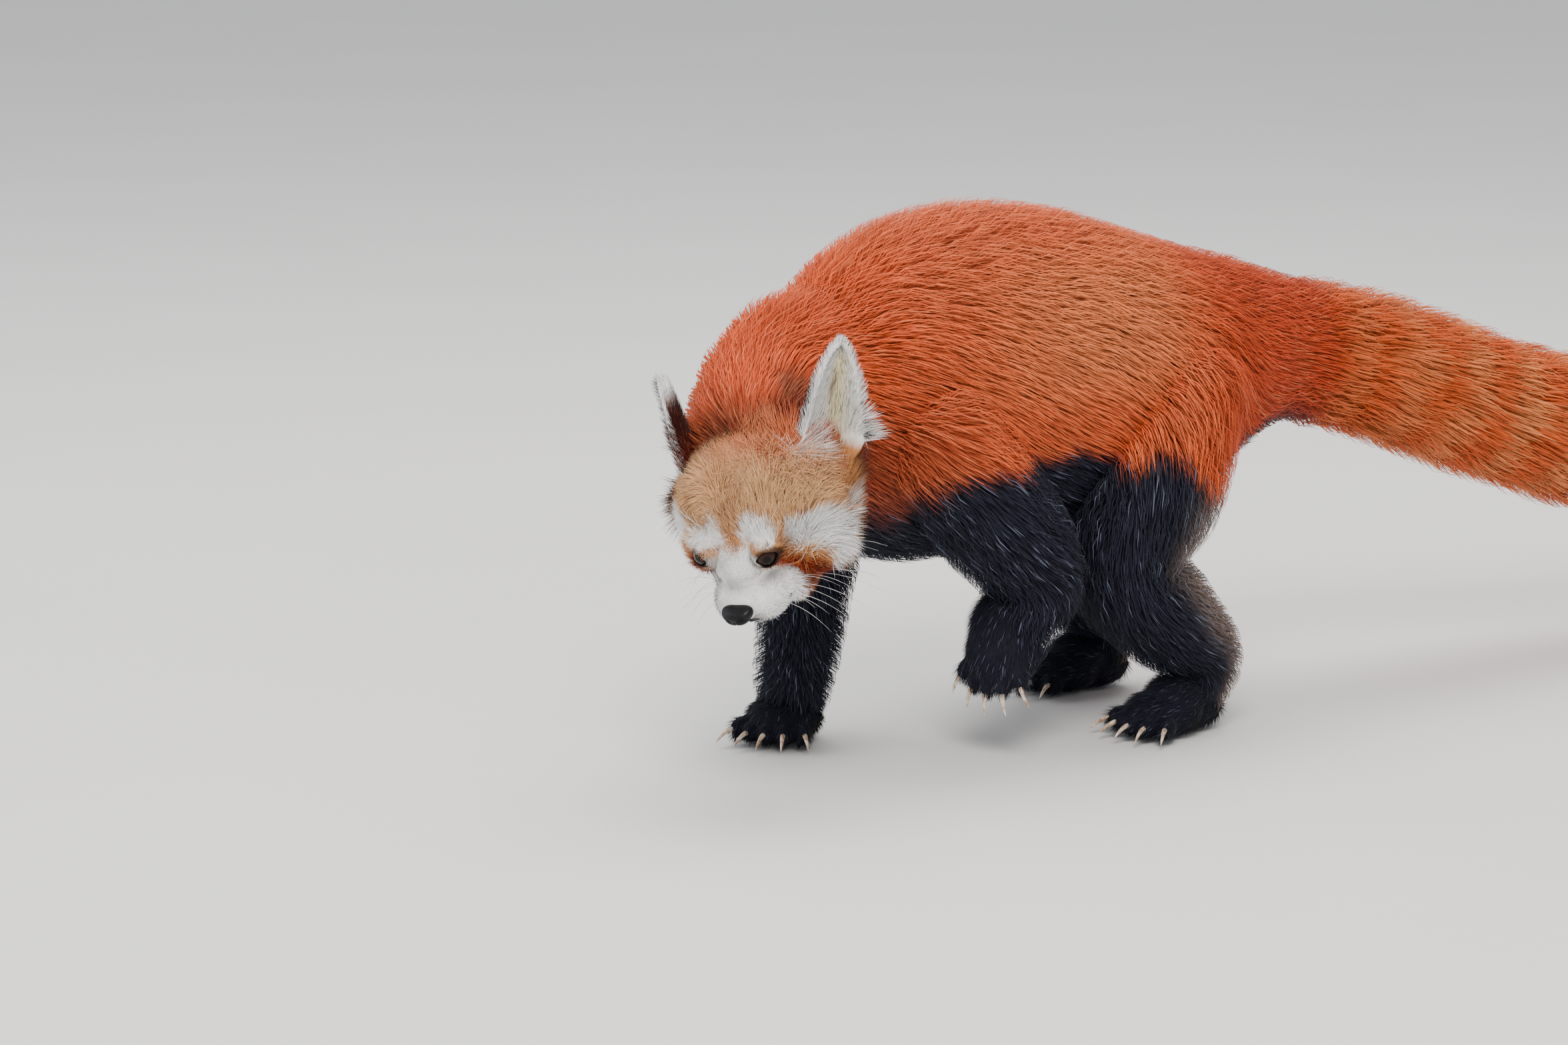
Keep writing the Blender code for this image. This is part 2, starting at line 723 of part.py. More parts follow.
def mouth_groove(tree, side):
    """A thin cord sunk along the line between the lips."""
    heart = HEAD @ Vector((0.040, 0.0, -0.020))
    points = []
    for place in MOUTH:
        start = HEAD @ Vector((place[0], place[1] * side, place[2]))
        hit = tree.ray_cast(start, (heart - start).normalized())[0]
        points.append(hit)
    rings = [(Vector(p), 0.0009, 0.0009) for p in smooth_line(points, 10)]
    bm = bmesh.new()
    add_loft(bm, tube_rings(rings, 6))
    return new_object("mouth", bm)


def nose_shape(extra):
    bm = bmesh.new()
    radii = [radius + extra for radius in NOSE_SIZE]
    add_ellipsoid(bm, NOSE_AT, radii, None, 12, 8)
    bm.transform(HEAD)
    return new_object("nose", bm)


def nostril(side):
    bm = bmesh.new()
    place = (NOSE_AT[0] + 0.0065, NOSE_AT[1] + side * 0.0046, NOSE_AT[2] + 0.0002)
    add_ellipsoid(bm, place, (0.0040, 0.0024, 0.0018), Quaternion((1, 0, 0), math.radians(28 * side)), 8, 6)
    bm.transform(HEAD)
    return new_object("nostril", bm)


def claw_shape(name, paw, toe, extra):
    """A curved claw whose root sits in the end of its toe."""
    middle, ahead = toe_places()[toe]
    side = Vector((0, 0, 1)).cross(ahead)
    bm = bmesh.new()
    rings = []
    for t in (0.0, 0.5, 1.0):
        along = 0.0095 + 0.0135 * t - extra * (t == 0.0)
        drop_by = 0.0010 - 0.0072 * t * t
        thick = 0.0019 * (1 - t) ** 0.7 + 0.00025 + extra
        here = middle + ahead * along + Vector((0, 0, drop_by))
        ring = []
        for k in range(5):
            angle = math.tau * k / 5
            out = side * math.cos(angle) * 0.75 + Vector((0, 0, 1)) * math.sin(angle)
            ring.append(here + out * thick)
        rings.append(ring)
    add_loft(bm, rings)
    bm.transform(paw_matrix(paw))
    return new_object(name, bm)


def face_parts(head):
    tree = BVHTree.FromObject(head, bpy.context.evaluated_depsgraph_get())
    grooves = [mouth_groove(tree, side) for side in (1, -1)]
    lids = []
    for side in (1, -1):
        lids.append(ball("lid", eye_matrix(side) @ Vector((0.0003, 0, 0)), EYE_RADIUS + 0.0022, 12, 7))
    join_all(head, lids)
    cutters = [*grooves, nose_shape(GAP)]
    for side in (1, -1):
        cutters.append(almond(side))
        cutters.append(ball("socket", eye_matrix(side).translation, EYE_RADIUS + GAP))
    for cutter in cutters:
        boolean(head, "DIFFERENCE", cutter)
        drop(cutter)
    keep_largest(head)
    made = {"nose": nose_shape(0.0)}
    for side, name in ((1, "eye_left"), (-1, "eye_right")):
        made[name] = ball(name, eye_matrix(side).translation, EYE_RADIUS, 14, 8)
        hole = nostril(side)
        boolean(made["nose"], "DIFFERENCE", hole)
        drop(hole)
    return made


def centred(nodes):
    """Moves the nodes so that the middle of their bounding box's base is the origin."""
    corners = np.array([vertex.co for obj in nodes.values() for vertex in obj.data.vertices])
    low, high = corners.min(axis=0), corners.max(axis=0)
    middle = Vector(((low[0] + high[0]) / 2, (low[1] + high[1]) / 2, low[2]))
    for obj in nodes.values():
        obj.data.transform(Matrix.Translation(-middle))
    print("moved by", -middle)


def main():
    clear_scene()
    whole = body_form()
    others = [head_form()]
    others += [paw_form(name) for name in PAWS]
    chance = random.Random(SEED)
    skin = bmesh.new()
    for form in (whole, others[0]):
        skin.from_mesh(form.data)
    tree = BVHTree.FromBMesh(skin)
    skin.free()
    others += [ear_form(name) for name in EARS]
    others += tail_locks(chance) + fringe_locks(tree, chance)
    join_all(whole, others)
    keep_largest(whole)
    nodes = {}
    for name, region in regions():
        nodes[name] = part_off(whole, name, region)
    nodes["torso_rear"] = whole
    nodes.update(face_parts(nodes["head"]))
    for paw in PAWS:
        for toe in range(TOES):
            name = f"claw_{paw}_{toe + 1}"
            nodes[name] = claw_shape(name, paw, toe, 0.0)
            socket = claw_shape("socket", paw, toe, GAP)
            boolean(nodes[paw], "DIFFERENCE", socket)
            drop(socket)
        keep_largest(nodes[paw])
    centred(nodes)
    materials = {name: material(name) for name in COLOURS}
    final = bpy.data.collections["red_panda"]
    for name, obj in nodes.items():
        obj.name = name
        obj.data.materials.clear()
        obj.data.materials.append(materials[MATERIAL_OF[name.split("_")[0]]])
        for old in list(obj.users_collection):
            old.objects.unlink(obj)
        final.objects.link(obj)
        print(name, sum(len(face.vertices) - 2 for face in obj.data.polygons))


main()
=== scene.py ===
# The looks of a life-size red panda model: skin, coat, eyes, nose, claws, whiskers, floor, light and camera.
import math

import bmesh
import bpy
import numpy as np
from mathutils import Matrix, Quaternion, Vector
from mathutils.bvhtree import BVHTree


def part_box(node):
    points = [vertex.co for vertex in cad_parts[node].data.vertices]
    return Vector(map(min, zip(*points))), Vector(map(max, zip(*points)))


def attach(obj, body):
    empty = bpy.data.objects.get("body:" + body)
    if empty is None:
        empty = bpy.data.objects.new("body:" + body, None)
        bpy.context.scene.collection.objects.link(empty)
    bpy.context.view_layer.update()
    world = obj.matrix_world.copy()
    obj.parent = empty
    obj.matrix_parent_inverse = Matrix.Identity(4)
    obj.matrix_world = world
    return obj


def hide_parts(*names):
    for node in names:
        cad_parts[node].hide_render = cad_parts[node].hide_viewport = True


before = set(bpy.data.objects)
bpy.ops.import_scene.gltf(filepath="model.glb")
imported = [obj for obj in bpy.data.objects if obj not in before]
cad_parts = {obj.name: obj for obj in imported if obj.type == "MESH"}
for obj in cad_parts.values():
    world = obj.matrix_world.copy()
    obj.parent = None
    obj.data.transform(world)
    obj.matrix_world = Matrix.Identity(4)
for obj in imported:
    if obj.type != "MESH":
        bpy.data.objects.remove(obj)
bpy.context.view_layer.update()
print("frame loaded:", len(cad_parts), "nodes")


# Small helpers

def toLinear(red, green, blue):
    shade = np.array((red, green, blue), float) / 255
    return np.where(shade <= 0.04045, shade / 12.92, ((shade + 0.055) / 1.055) ** 2.4)


def unit(vectors):
    return vectors / np.maximum(np.linalg.norm(vectors, axis=-1, keepdims=True), 1e-9)


def ramp(values, low, high):
    t = np.clip((values - low) / (high - low), 0, 1)
    return t * t * (3 - 2 * t)


def mixed(first, second, share):
    share = np.asarray(share)[..., None]
    return first * (1 - share) + second * share


def washed(base, *washes):
    # each wash lays a colour over what is there, with a share of it for every point
    for colour, share in washes:
        base = mixed(base, colour, share)
    return base


def ripple(points, size, seed):
    # smooth noise from -1 to 1 made of a few waves
    waves = np.random.default_rng(seed)
    total = np.zeros(len(points))
    for _ in range(7):
        direction = waves.normal(size=3)
        direction *= 2 * math.pi / size / np.linalg.norm(direction) * waves.uniform(0.6, 1.5)
        total += np.sin(points @ direction + waves.uniform(0, 6.28))
    return np.clip(total / 3.2, -1, 1)


def smoothLine(points, count):
    # a Catmull-Rom curve through rows of numbers
    points = [np.array(point, float) for point in points]
    ends = [2 * points[0] - points[1], *points, 2 * points[-1] - points[-2]]
    made = []
    for i in range(count):
        t = i / (count - 1) * (len(points) - 1)
        k = min(int(t), len(points) - 2)
        t -= k
        a, b, c, d = ends[k : k + 4]
        bend = (2 * a - 5 * b + 4 * c - d) * t**2 + (3 * b - a - 3 * c + d) * t**3
        made.append(0.5 * (2 * b + (c - a) * t + bend))
    return np.array(made)


def readArray(owner, field, size, width, kind=float):
    # a field of a whole mesh collection as rows of numbers
    values = np.empty(size * width, kind)
    owner.foreach_get(field, values)
    return values.reshape(-1, width)


def paint(mesh, name, shades):
    colour = mesh.attributes.new(name, "FLOAT_COLOR", "POINT")
    rows = np.column_stack([np.clip(shades, 0, 1), np.ones(len(shades))])
    colour.data.foreach_set("color", rows.reshape(-1))


def linked(name, data):
    obj = bpy.data.objects.new(name, data)
    bpy.context.scene.collection.objects.link(obj)
    return obj


def seenFrom(matrix, points):
    # points in the axes of a place
    place = np.array(matrix)
    return (points - place[:3, 3]) @ place[:3, :3]


# The animal's measures, in the model's own axes: it walks towards -X and its left side faces -Y

bodySettings = {
    # station: x, y, z, half height, half width of the coat's outline
    "chains": {
        "torso": (
            (-0.190, 0, 0.242, 0.050, 0.046),
            (-0.170, 0, 0.238, 0.072, 0.060),
            (-0.138, 0, 0.232, 0.091, 0.074),
            (-0.100, 0, 0.233, 0.108, 0.081),
            (-0.050, 0, 0.240, 0.118, 0.086),
            (0.010, 0, 0.239, 0.116, 0.087),
            (0.070, 0, 0.236, 0.104, 0.085),
            (0.125, 0, 0.237, 0.087, 0.078),
            (0.175, 0, 0.241, 0.069, 0.064),
            (0.215, 0, 0.240, 0.055, 0.052),
            (0.252, 0, 0.234, 0.046, 0.045),
        ),
        "neck": (
            (-0.150, 0.000, 0.240, 0.070, 0.070),
            (-0.185, -0.016, 0.228, 0.059, 0.059),
            (-0.214, -0.044, 0.211, 0.052, 0.052),
        ),
        "forelegLeft": (
            (-0.097, -0.050, 0.215, 0.052, 0.048),
            (-0.056, -0.062, 0.168, 0.047, 0.043),
            (-0.021, -0.066, 0.122, 0.038, 0.035),
            (-0.030, -0.065, 0.092, 0.030, 0.028),
            (-0.040, -0.063, 0.068, 0.025, 0.023),
        ),
        "forelegRight": (
            (-0.110, 0.045, 0.215, 0.052, 0.048),
            (-0.112, 0.052, 0.160, 0.042, 0.039),
            (-0.120, 0.051, 0.110, 0.035, 0.032),
            (-0.126, 0.049, 0.070, 0.032, 0.029),
            (-0.132, 0.048, 0.035, 0.028, 0.026),
        ),
        "hindlegLeft": (
            (0.105, -0.035, 0.225, 0.062, 0.057),
            (0.076, -0.055, 0.172, 0.060, 0.055),
            (0.055, -0.062, 0.122, 0.045, 0.041),
            (0.086, -0.066, 0.082, 0.040, 0.037),
            (0.118, -0.070, 0.052, 0.029, 0.027),
            (0.113, -0.070, 0.026, 0.023, 0.021),
        ),
        "hindlegRight": (
            (0.110, 0.035, 0.225, 0.062, 0.057),
            (0.092, 0.056, 0.172, 0.058, 0.053),
            (0.075, 0.063, 0.122, 0.044, 0.040),
            (0.108, 0.066, 0.082, 0.039, 0.036),
            (0.138, 0.068, 0.052, 0.029, 0.027),
            (0.134, 0.068, 0.026, 0.023, 0.021),
        ),
        "tail": (
            (0.185, 0, 0.245, 0.036, 0.036),
            (0.300, 0, 0.223, 0.036, 0.036),
            (0.420, 0, 0.181, 0.036, 0.036),
            (0.525, 0, 0.150, 0.036, 0.036),
            (0.625, 0, 0.138, 0.016, 0.016),
        ),
    },
    "depth": {  # how deep the skin lies under the coat's outline, from root to end
        "torso": (0.013, 0.013),
        "neck": (0.012, 0.010),
        "forelegLeft": (0.013, 0.005),
        "forelegRight": (0.013, 0.006),
        "hindlegLeft": (0.014, 0.005),
        "hindlegRight": (0.014, 0.005),
        "tail": (0.008, 0.008),
    },
    "voxel": 0.0037,
    "smoothing": 7,
}

headSettings = {
    "at": (-0.2303, -0.0714, 0.1877),
    "turn": 33,
    "tip": 43.5,
    "roll": 7,
    "eyeAt": (0.0453, 0.0210, 0.0119),
    "eyeRadius": 0.0080,
    # form: middle (forward, left, up), radii, turn about the up axis, depth of the coat
    "single": (
        ((0.000, 0.000, 0.004), (0.053, 0.060, 0.045), 0, 0.006),
        ((-0.030, 0.000, 0.002), (0.040, 0.050, 0.046), 0, 0.007),
        ((0.034, 0.000, 0.002), (0.030, 0.022, 0.020), 0, 0.0025),
        ((0.048, 0.000, -0.016), (0.029, 0.0195, 0.016), 0, 0.002),
        ((0.038, 0.000, -0.029), (0.028, 0.016, 0.010), 0, 0.002),
    ),
    "paired": (
        ((0.006, 0.0285, -0.012), (0.040, 0.027, 0.028), 20, 0.006),
        ((0.030, 0.0220, 0.016), (0.020, 0.016, 0.013), 0, 0.003),
        ((0.051, 0.0110, -0.020), (0.022, 0.015, 0.014), 0, 0.002),
        ((0.028, 0.0185, -0.024), (0.028, 0.019, 0.0172), 0, 0.003),
    ),
    "voxel": 0.0015,
}

pawSettings = {
    "places": {
        "forepawLeft": ((-0.032, -0.062, 0.066), 14, 58),
        "forepawRight": ((-0.140, 0.048, 0.0), 34, 0),
        "hindpawLeft": ((0.082, -0.074, 0.0), 8, 0),
        "hindpawRight": ((0.104, 0.070, 0.0), -8, 0),
    },
    "halfWidth": 0.027,
    "toes": 5,
    "depth": 0.0025,
}

earSettings = {
    "height": 0.070,
    "halfWidth": 0.027,
    # foot, rise and the way the cup faces, in the head's axes
    "left": ((-0.0342, 0.0451, 0.0186), (-0.720, 0.159, 0.665), (0.474, 0.634, 0.459)),
    "right": ((-0.0137, -0.0592, 0.0173), (-0.387, -0.016, 0.922), (0.477, -0.858, 0.153)),
}


def headMatrix():
    turn, tip = math.radians(headSettings["turn"]), math.radians(headSettings["tip"])
    level = Vector((-math.cos(turn), -math.sin(turn), 0))
    ahead = level * math.cos(tip) - Vector((0, 0, math.sin(tip)))
    left = Quaternion(ahead, math.radians(headSettings["roll"])) @ Vector((0, 0, 1)).cross(ahead).normalized()
    axes = Matrix((ahead, left, ahead.cross(left))).transposed().to_4x4()
    return Matrix.Translation(headSettings["at"]) @ axes


headPlace = headMatrix()


def earMatrix(side):
    foot, rise, faces = (Vector(values) for values in earSettings[side])
    turn = headPlace.to_3x3()
    rise = (turn @ rise).normalized()
    across = rise.cross(turn @ faces).normalized()
    axes = Matrix((across.cross(rise), across, rise)).transposed().to_4x4()
    return Matrix.Translation(headPlace @ foot) @ axes


def eyeMatrix(side):
    ahead, left, up = (headPlace.to_3x3().col[k] for k in range(3))
    looks = (ahead * 0.82 + left * side * 0.50 + up * 0.22).normalized()
    across = up.cross(looks).normalized()
    axes = Matrix((looks, across, looks.cross(across))).transposed().to_4x4()
    at = headSettings["eyeAt"]
    return Matrix.Translation(headPlace @ Vector((at[0], at[1] * side, at[2]))) @ axes


def pawMatrix(name):
    place, turn, tip = pawSettings["places"][name]
    turned = Matrix.Rotation(math.radians(180 + turn), 4, "Z") @ Matrix.Rotation(math.radians(tip), 4, "Y")
    return Matrix.Translation(place) @ turned


def toePlaces():
    places = []
    for k in range(pawSettings["toes"]):
        across = 2 * k / (pawSettings["toes"] - 1) - 1
        angle = math.radians(-34 * across)
        middle = Vector((0.022 - 0.007 * across**2, -across * (pawSettings["halfWidth"] - 0.007), 0.0105))
        places.append((middle, Vector((math.cos(angle), math.sin(angle), 0))))
    return places


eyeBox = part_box("eye_left")
eyeInFrame = (Vector(eyeBox[0]) + Vector(eyeBox[1])) / 2
toFrame = Matrix.Translation(eyeInFrame - eyeMatrix(1).translation)
print("model moved into the frame by", tuple(round(v, 4) for v in toFrame.translation))


# Fields: how far a point is from each form, and which way that form's coat lies

class Chain:
    def __init__(self, name, count):
        rows = smoothLine(bodySettings["chains"][name], count)
        self.middles = rows[:, :3]
        self.ahead = unit(np.gradient(self.middles, axis=0))
        upright = np.array((0.0, 0, 1)) if name in ("torso", "neck", "tail") else np.array((0.0, 1, 0))
        self.side = unit(np.cross(self.ahead, upright))
        self.top = np.cross(self.side, self.ahead)
        low, high = bodySettings["depth"][name]
        depth = low + (high - low) * np.linspace(0, 1, count)
        self.tall = rows[:, 3] - depth
        self.wide = rows[:, 4] - depth
        self.spacing = np.linalg.norm(np.diff(self.middles, axis=0), axis=1).mean()
        self.count = count

    def measure(self, points):
        # distance to the form's surface, share along it, direction along it
        offsets = points[:, None, :] - self.middles[None]
        across = np.einsum("nmk,mk->nm", offsets, self.side) / self.wide
        upward = np.einsum("nmk,mk->nm", offsets, self.top) / self.tall
        along = np.einsum("nmk,mk->nm", offsets, self.ahead) / (self.tall * 0.9)
        radius = np.sqrt(across**2 + upward**2 + along**2)
        gaps = (radius - 1) * np.minimum(self.wide, self.tall)
        best = gaps.argmin(axis=1)
        rows = np.arange(len(points))
        shift = np.einsum("nk,nk->n", points - self.middles[best], self.ahead[best]) / self.spacing
        share = np.clip((best + np.clip(shift, -1.5, 1.5)) / (self.count - 1), 0, 1)
        return gaps[rows, best], share, self.ahead[best]


chains = {name: Chain(name, 34 if name in ("torso", "tail") else 20) for name in bodySettings["chains"]}


def measured(points, step=20000):
    # every chain's measures for all points, in blocks so that memory stays small
    made = {}
    for name, chain in chains.items():
        parts = [chain.measure(points[k : k + step]) for k in range(0, len(points), step)]
        made[name] = [np.concatenate(values) for values in zip(*parts)]
    return made


headAxes = np.array(headPlace.to_3x3()).T
headMiddle = np.array(headPlace.translation)


def headCoordinates(points):
    return (points - headMiddle) @ headAxes.T


def headForms():
    forms = [(np.array(m), np.array(r), math.radians(t), d) for m, r, t, d in headSettings["single"]]
    for m, r, t, d in headSettings["paired"]:
        for side in (1, -1):
            forms.append((np.array(m) * (1, side, 1), np.array(r), math.radians(t * side), d))
    return forms


def headGap(local):
    # distance to the skin of the head, below zero inside it
    best = np.full(len(local), 9.0)
    for middle, radii, turn, depth in headForms():
        offset = local - middle
        c, s = math.cos(turn), math.sin(turn)
        x = offset[:, 0] * c + offset[:, 1] * s
        y = -offset[:, 0] * s + offset[:, 1] * c
        size = radii - depth
        radius = np.sqrt((x / size[0]) ** 2 + (y / size[1]) ** 2 + (offset[:, 2] / size[2]) ** 2)
        best = np.minimum(best, (radius - 1) * size.min())
    return best


# Skin: one mesh under the coat

def addBall(bm, middle, radii, turn=None, segments=24, rings=14):
    turn = turn.to_matrix().to_4x4() if turn else Matrix.Identity(4)
    place = Matrix.Translation(middle) @ turn @ Matrix.Diagonal((*radii, 1))
    bmesh.ops.create_uvsphere(bm, u_segments=segments, v_segments=rings, radius=1, matrix=place)


def meshObject(name, bm):
    mesh = bpy.data.meshes.new(name)
    bm.normal_update()
    bmesh.ops.recalc_face_normals(bm, faces=bm.faces)
    bm.to_mesh(mesh)
    bm.free()
    return linked(name, mesh)


def applyModifiers(obj):
    graph = bpy.context.evaluated_depsgraph_get()
    mesh = bpy.data.meshes.new_from_object(obj.evaluated_get(graph))
    obj.modifiers.clear()
    old = obj.data
    obj.data = mesh
    bpy.data.meshes.remove(old)
    mesh.name = obj.name
    return obj


def fuse(name, bm, voxel, smoothing):
    obj = meshObject(name, bm)
    remesh = obj.modifiers.new("fuse", "REMESH")
    remesh.mode = "VOXEL"
    remesh.voxel_size = voxel
    smooth = obj.modifiers.new("smooth", "SMOOTH")
    smooth.factor = 0.6
    smooth.iterations = smoothing
    return applyModifiers(obj)


def bodySkin():
    # beads along every chain, copies of one ball, so that the fused form tapers and bends as the stations say
    template = bmesh.new()
    bmesh.ops.create_uvsphere(template, u_segments=22, v_segments=14, radius=1)
    bead = bpy.data.meshes.new("bead")
    template.to_mesh(bead)
    template.free()
    bm = bmesh.new()
    for name in bodySettings["chains"]:
        dense = Chain(name, 48 if name == "torso" else 40)
        for k in range(dense.count):
            radius = min(dense.tall[k], dense.wide[k])
            reach = radius * 0.85 if k in (0, dense.count - 1) else max(dense.spacing * 2.2, radius * 0.5)
            axes = Matrix((dense.ahead[k], dense.side[k], dense.top[k])).transposed().to_4x4()
            place = Matrix.Translation(dense.middles[k]) @ axes
            place @= Matrix.Diagonal((reach, dense.wide[k], dense.tall[k], 1))
            bead.transform(place)
            bm.from_mesh(bead)
            bead.transform(place.inverted())
    bpy.data.meshes.remove(bead)
    return fuse("bodySkin", bm, bodySettings["voxel"], bodySettings["smoothing"])


def headSkin():
    bm = bmesh.new()
    for middle, radii, turn, depth in headForms():
        addBall(bm, middle, radii - depth, Quaternion((0, 0, 1), turn), 32, 20)
    bm.transform(headPlace)
    return fuse("headSkin", bm, headSettings["voxel"], 8)


def turnForwards(bm):
    # what points up comes to point ahead
    bmesh.ops.rotate(bm, verts=bm.verts, matrix=Matrix.Rotation(math.radians(90), 3, "Y"))


def solidBall(name, middle, radius):
    bm = bmesh.new()
    place = Matrix.Translation(middle)
    bmesh.ops.create_uvsphere(bm, u_segments=40, v_segments=26, radius=radius, matrix=place)
    return meshObject(name, bm)


def almondAt(angle):
    # across and up on the edge of the opening between the lids
    cosine = math.cos(angle)
    tall = eyeSettings["openTall"] * math.sin(angle) * (1 - eyeSettings["pointed"] * abs(cosine))
    return eyeSettings["openAcross"] * cosine, tall


def lidOpening(side):
    # the almond between the lids, as a tube that points out of the eye
    bm = bmesh.new()
    bmesh.ops.create_circle(bm, cap_ends=True, segments=eyeSettings["openSteps"], radius=1)
    turnForwards(bm)
    for vertex in bm.verts:
        vertex.co = Vector((0, *almondAt(math.atan2(vertex.co.z, vertex.co.y))))
    outer = bmesh.ops.extrude_face_region(bm, geom=bm.faces[:])["geom"]
    outer = [part for part in outer if isinstance(part, bmesh.types.BMVert)]
    bmesh.ops.translate(bm, verts=outer, vec=(0.03, 0, 0))
    bm.transform(eyeMatrix(side))
    return meshObject("opening", bm)


def addLids(head):
    for side in (1, -1):
        middle = eyeMatrix(side).translation
        steps = (
            (solidBall("lids", middle, headSettings["eyeRadius"] + eyeSettings["lidThick"]), "UNION"),
            (lidOpening(side), "DIFFERENCE"),
            (solidBall("socket", middle, headSettings["eyeRadius"] - 0.0001), "DIFFERENCE"),
        )
        for other, operation in steps:
            cut = head.modifiers.new("cut", "BOOLEAN")
            cut.operation = operation
            cut.object = other
            cut.solver = "EXACT"
            applyModifiers(head)
            bpy.data.objects.remove(other)
    return head


def pawSkin(name):
    inset = pawSettings["depth"]
    wide = pawSettings["halfWidth"]
    bm = bmesh.new()
    addBall(bm, (-0.002, 0, 0.015), (0.030 - inset, wide - inset, 0.018 - inset))
    addBall(bm, (-0.014, 0, 0.023), (0.024 - inset, 0.023 - inset, 0.018 - inset))
    if name.startswith("hind"):
        addBall(bm, (-0.026, 0, 0.015), (0.028 - inset, 0.020 - inset, 0.018 - inset))
    for middle, ahead in toePlaces():
        turn = Vector((1, 0, 0)).rotation_difference(ahead)
        addBall(bm, middle, (0.0145 - inset, 0.0085 - inset, 0.0105 - inset), turn, 18, 12)
    bmesh.ops.transform(bm, matrix=Matrix.Translation((0, 0, 0.0012)), verts=bm.verts)
    bm.transform(pawMatrix(name))
    return fuse(name + "Skin", bm, 0.0018, 4)


def earSkin(side):
    # a bent leaf: a grid bowed into a cup, then given its thickness
    bm = bmesh.new()
    bmesh.ops.create_grid(bm, x_segments=14, y_segments=22, size=1)
    for vertex in bm.verts:
        s, t = vertex.co.x, 1 - ((1 - vertex.co.y) / 2) ** 1.6
        half = earSettings["halfWidth"] * (1 - 0.50 * t) * math.sqrt(max(0.0, 1 - t**6))
        bow = 0.014 * (1 - 0.6 * t) * (1 - s * s)
        height = -0.022 + (earSettings["height"] + 0.016) * t
        half *= 1 - 0.7 * min(1.0, max(0.0, -height) / 0.02)
        vertex.co = Vector((-bow - 0.003, s * max(half - 0.003, 0.0005), height))
    bmesh.ops.remove_doubles(bm, verts=bm.verts, dist=0.0002)
    bm.transform(earMatrix(side))
    obj = meshObject(side + "EarSkin", bm)
    wall = obj.modifiers.new("wall", "SOLIDIFY")
    wall.thickness = 0.003
    wall.offset = 0
    return applyModifiers(obj)


eyeSettings = {
    "iris": 0.0068, "pupil": 0.0028, "cornea": 0.0007, "corneaReach": 0.0058,
    # the lids, the opening between them and what of the head has no coat around it
    "lidThick": 0.0013, "rim": 0.0007, "openAcross": 0.0073, "openTall": 0.0056, "openSteps": 40,
    "pointed": 0.3, "bareAcross": 0.0082, "bareTall": 0.0065,
    "irisColour": (0.020, 0.007, 0.0045), "pupilColour": (0.0015, 0.0012, 0.0012),
    "ballColour": (0.006, 0.004, 0.0035),
}

skinParts = {"body": bodySkin(), "head": addLids(headSkin())}
for pawName in pawSettings["places"]:
    skinParts[pawName] = pawSkin(pawName)
for earSide in ("left", "right"):
    skinParts[earSide + "Ear"] = earSkin(earSide)
print("skin:", sum(len(obj.data.polygons) for obj in skinParts.values()), "faces")


def unwrapTogether(parts, mapName):
    # one unwrap for all the skin's parts, so that every tuft's patch has its own place on it
    bpy.ops.object.select_all(action="DESELECT")
    for obj in parts:
        for old in list(obj.data.uv_layers):
            obj.data.uv_layers.remove(old)
        obj.data.uv_layers.new(name=mapName)
        obj.select_set(True)
    bpy.context.view_layer.objects.active = parts[0]
    bpy.ops.object.mode_set(mode="EDIT")
    bpy.ops.mesh.select_all(action="SELECT")
    bpy.ops.uv.smart_project(angle_limit=math.radians(66), island_margin=0.002)
    bpy.ops.object.mode_set(mode="OBJECT")


unwrapTogether(list(skinParts.values()), "OFBake")
print("skin unwrapped")


# Markings, with some painted light and shade: colours of the coat, the same on the skin and on the tufts

coatColours = {name: toLinear(*shade) for name, shade in {
    # the paler flank colour is painted sunlight, laid on the upper flank
    "back": (206, 66, 18), "backTip": (236, 142, 92), "backRoot": (96, 24, 6), "paintedSunlitFlank": (222, 122, 70),
    # the neck colour is partly the coat's own darker red and partly painted shade low on the neck
    "rump": (176, 44, 10), "neck": (124, 34, 20), "black": (14, 15, 24), "blackTipAndSheen": (36, 38, 52),
    # the bluish black tip colour is partly painted sheen, and the pale guard hair colour is painted glints
    "paintedGlint": (120, 126, 148), "paintedSunOnBlackFur": (142, 122, 112), "tailRed": (202, 72, 20),
    # the grey brown colour is painted sunlight on black fur
    "tailPale": (230, 140, 82), "tailTip": (70, 26, 14), "tan": (212, 144, 86), "tanRoot": (146, 68, 28),
    "tanTip": (238, 200, 152), "crown": (188, 84, 44), "streak": (172, 90, 44), "white": (252, 251, 249),
    "whiteRoot": (240, 236, 231), "tear": (160, 56, 20), "tearDark": (112, 34, 14), "lid": (24, 15, 13),
    "muzzleGrey": (128, 122, 120), "earCream": (238, 224, 182), "earGrey": (150, 143, 124),
    "earBack": (58, 22, 18),
}.items()}

# the line on the flank between red above and black below: x, height
flankLine = (
    (-0.240, 0.150), (-0.190, 0.150), (-0.150, 0.160), (-0.129, 0.182), (-0.110, 0.200), (-0.092, 0.206),
    (-0.065, 0.197), (-0.035, 0.206), (-0.007, 0.212), (0.011, 0.207), (0.039, 0.197), (0.060, 0.200),
    (0.079, 0.198), (0.092, 0.178), (0.121, 0.180), (0.150, 0.196), (0.200, 0.200),
)
tailRings = 9.5  # pairs of a red and a pale ring


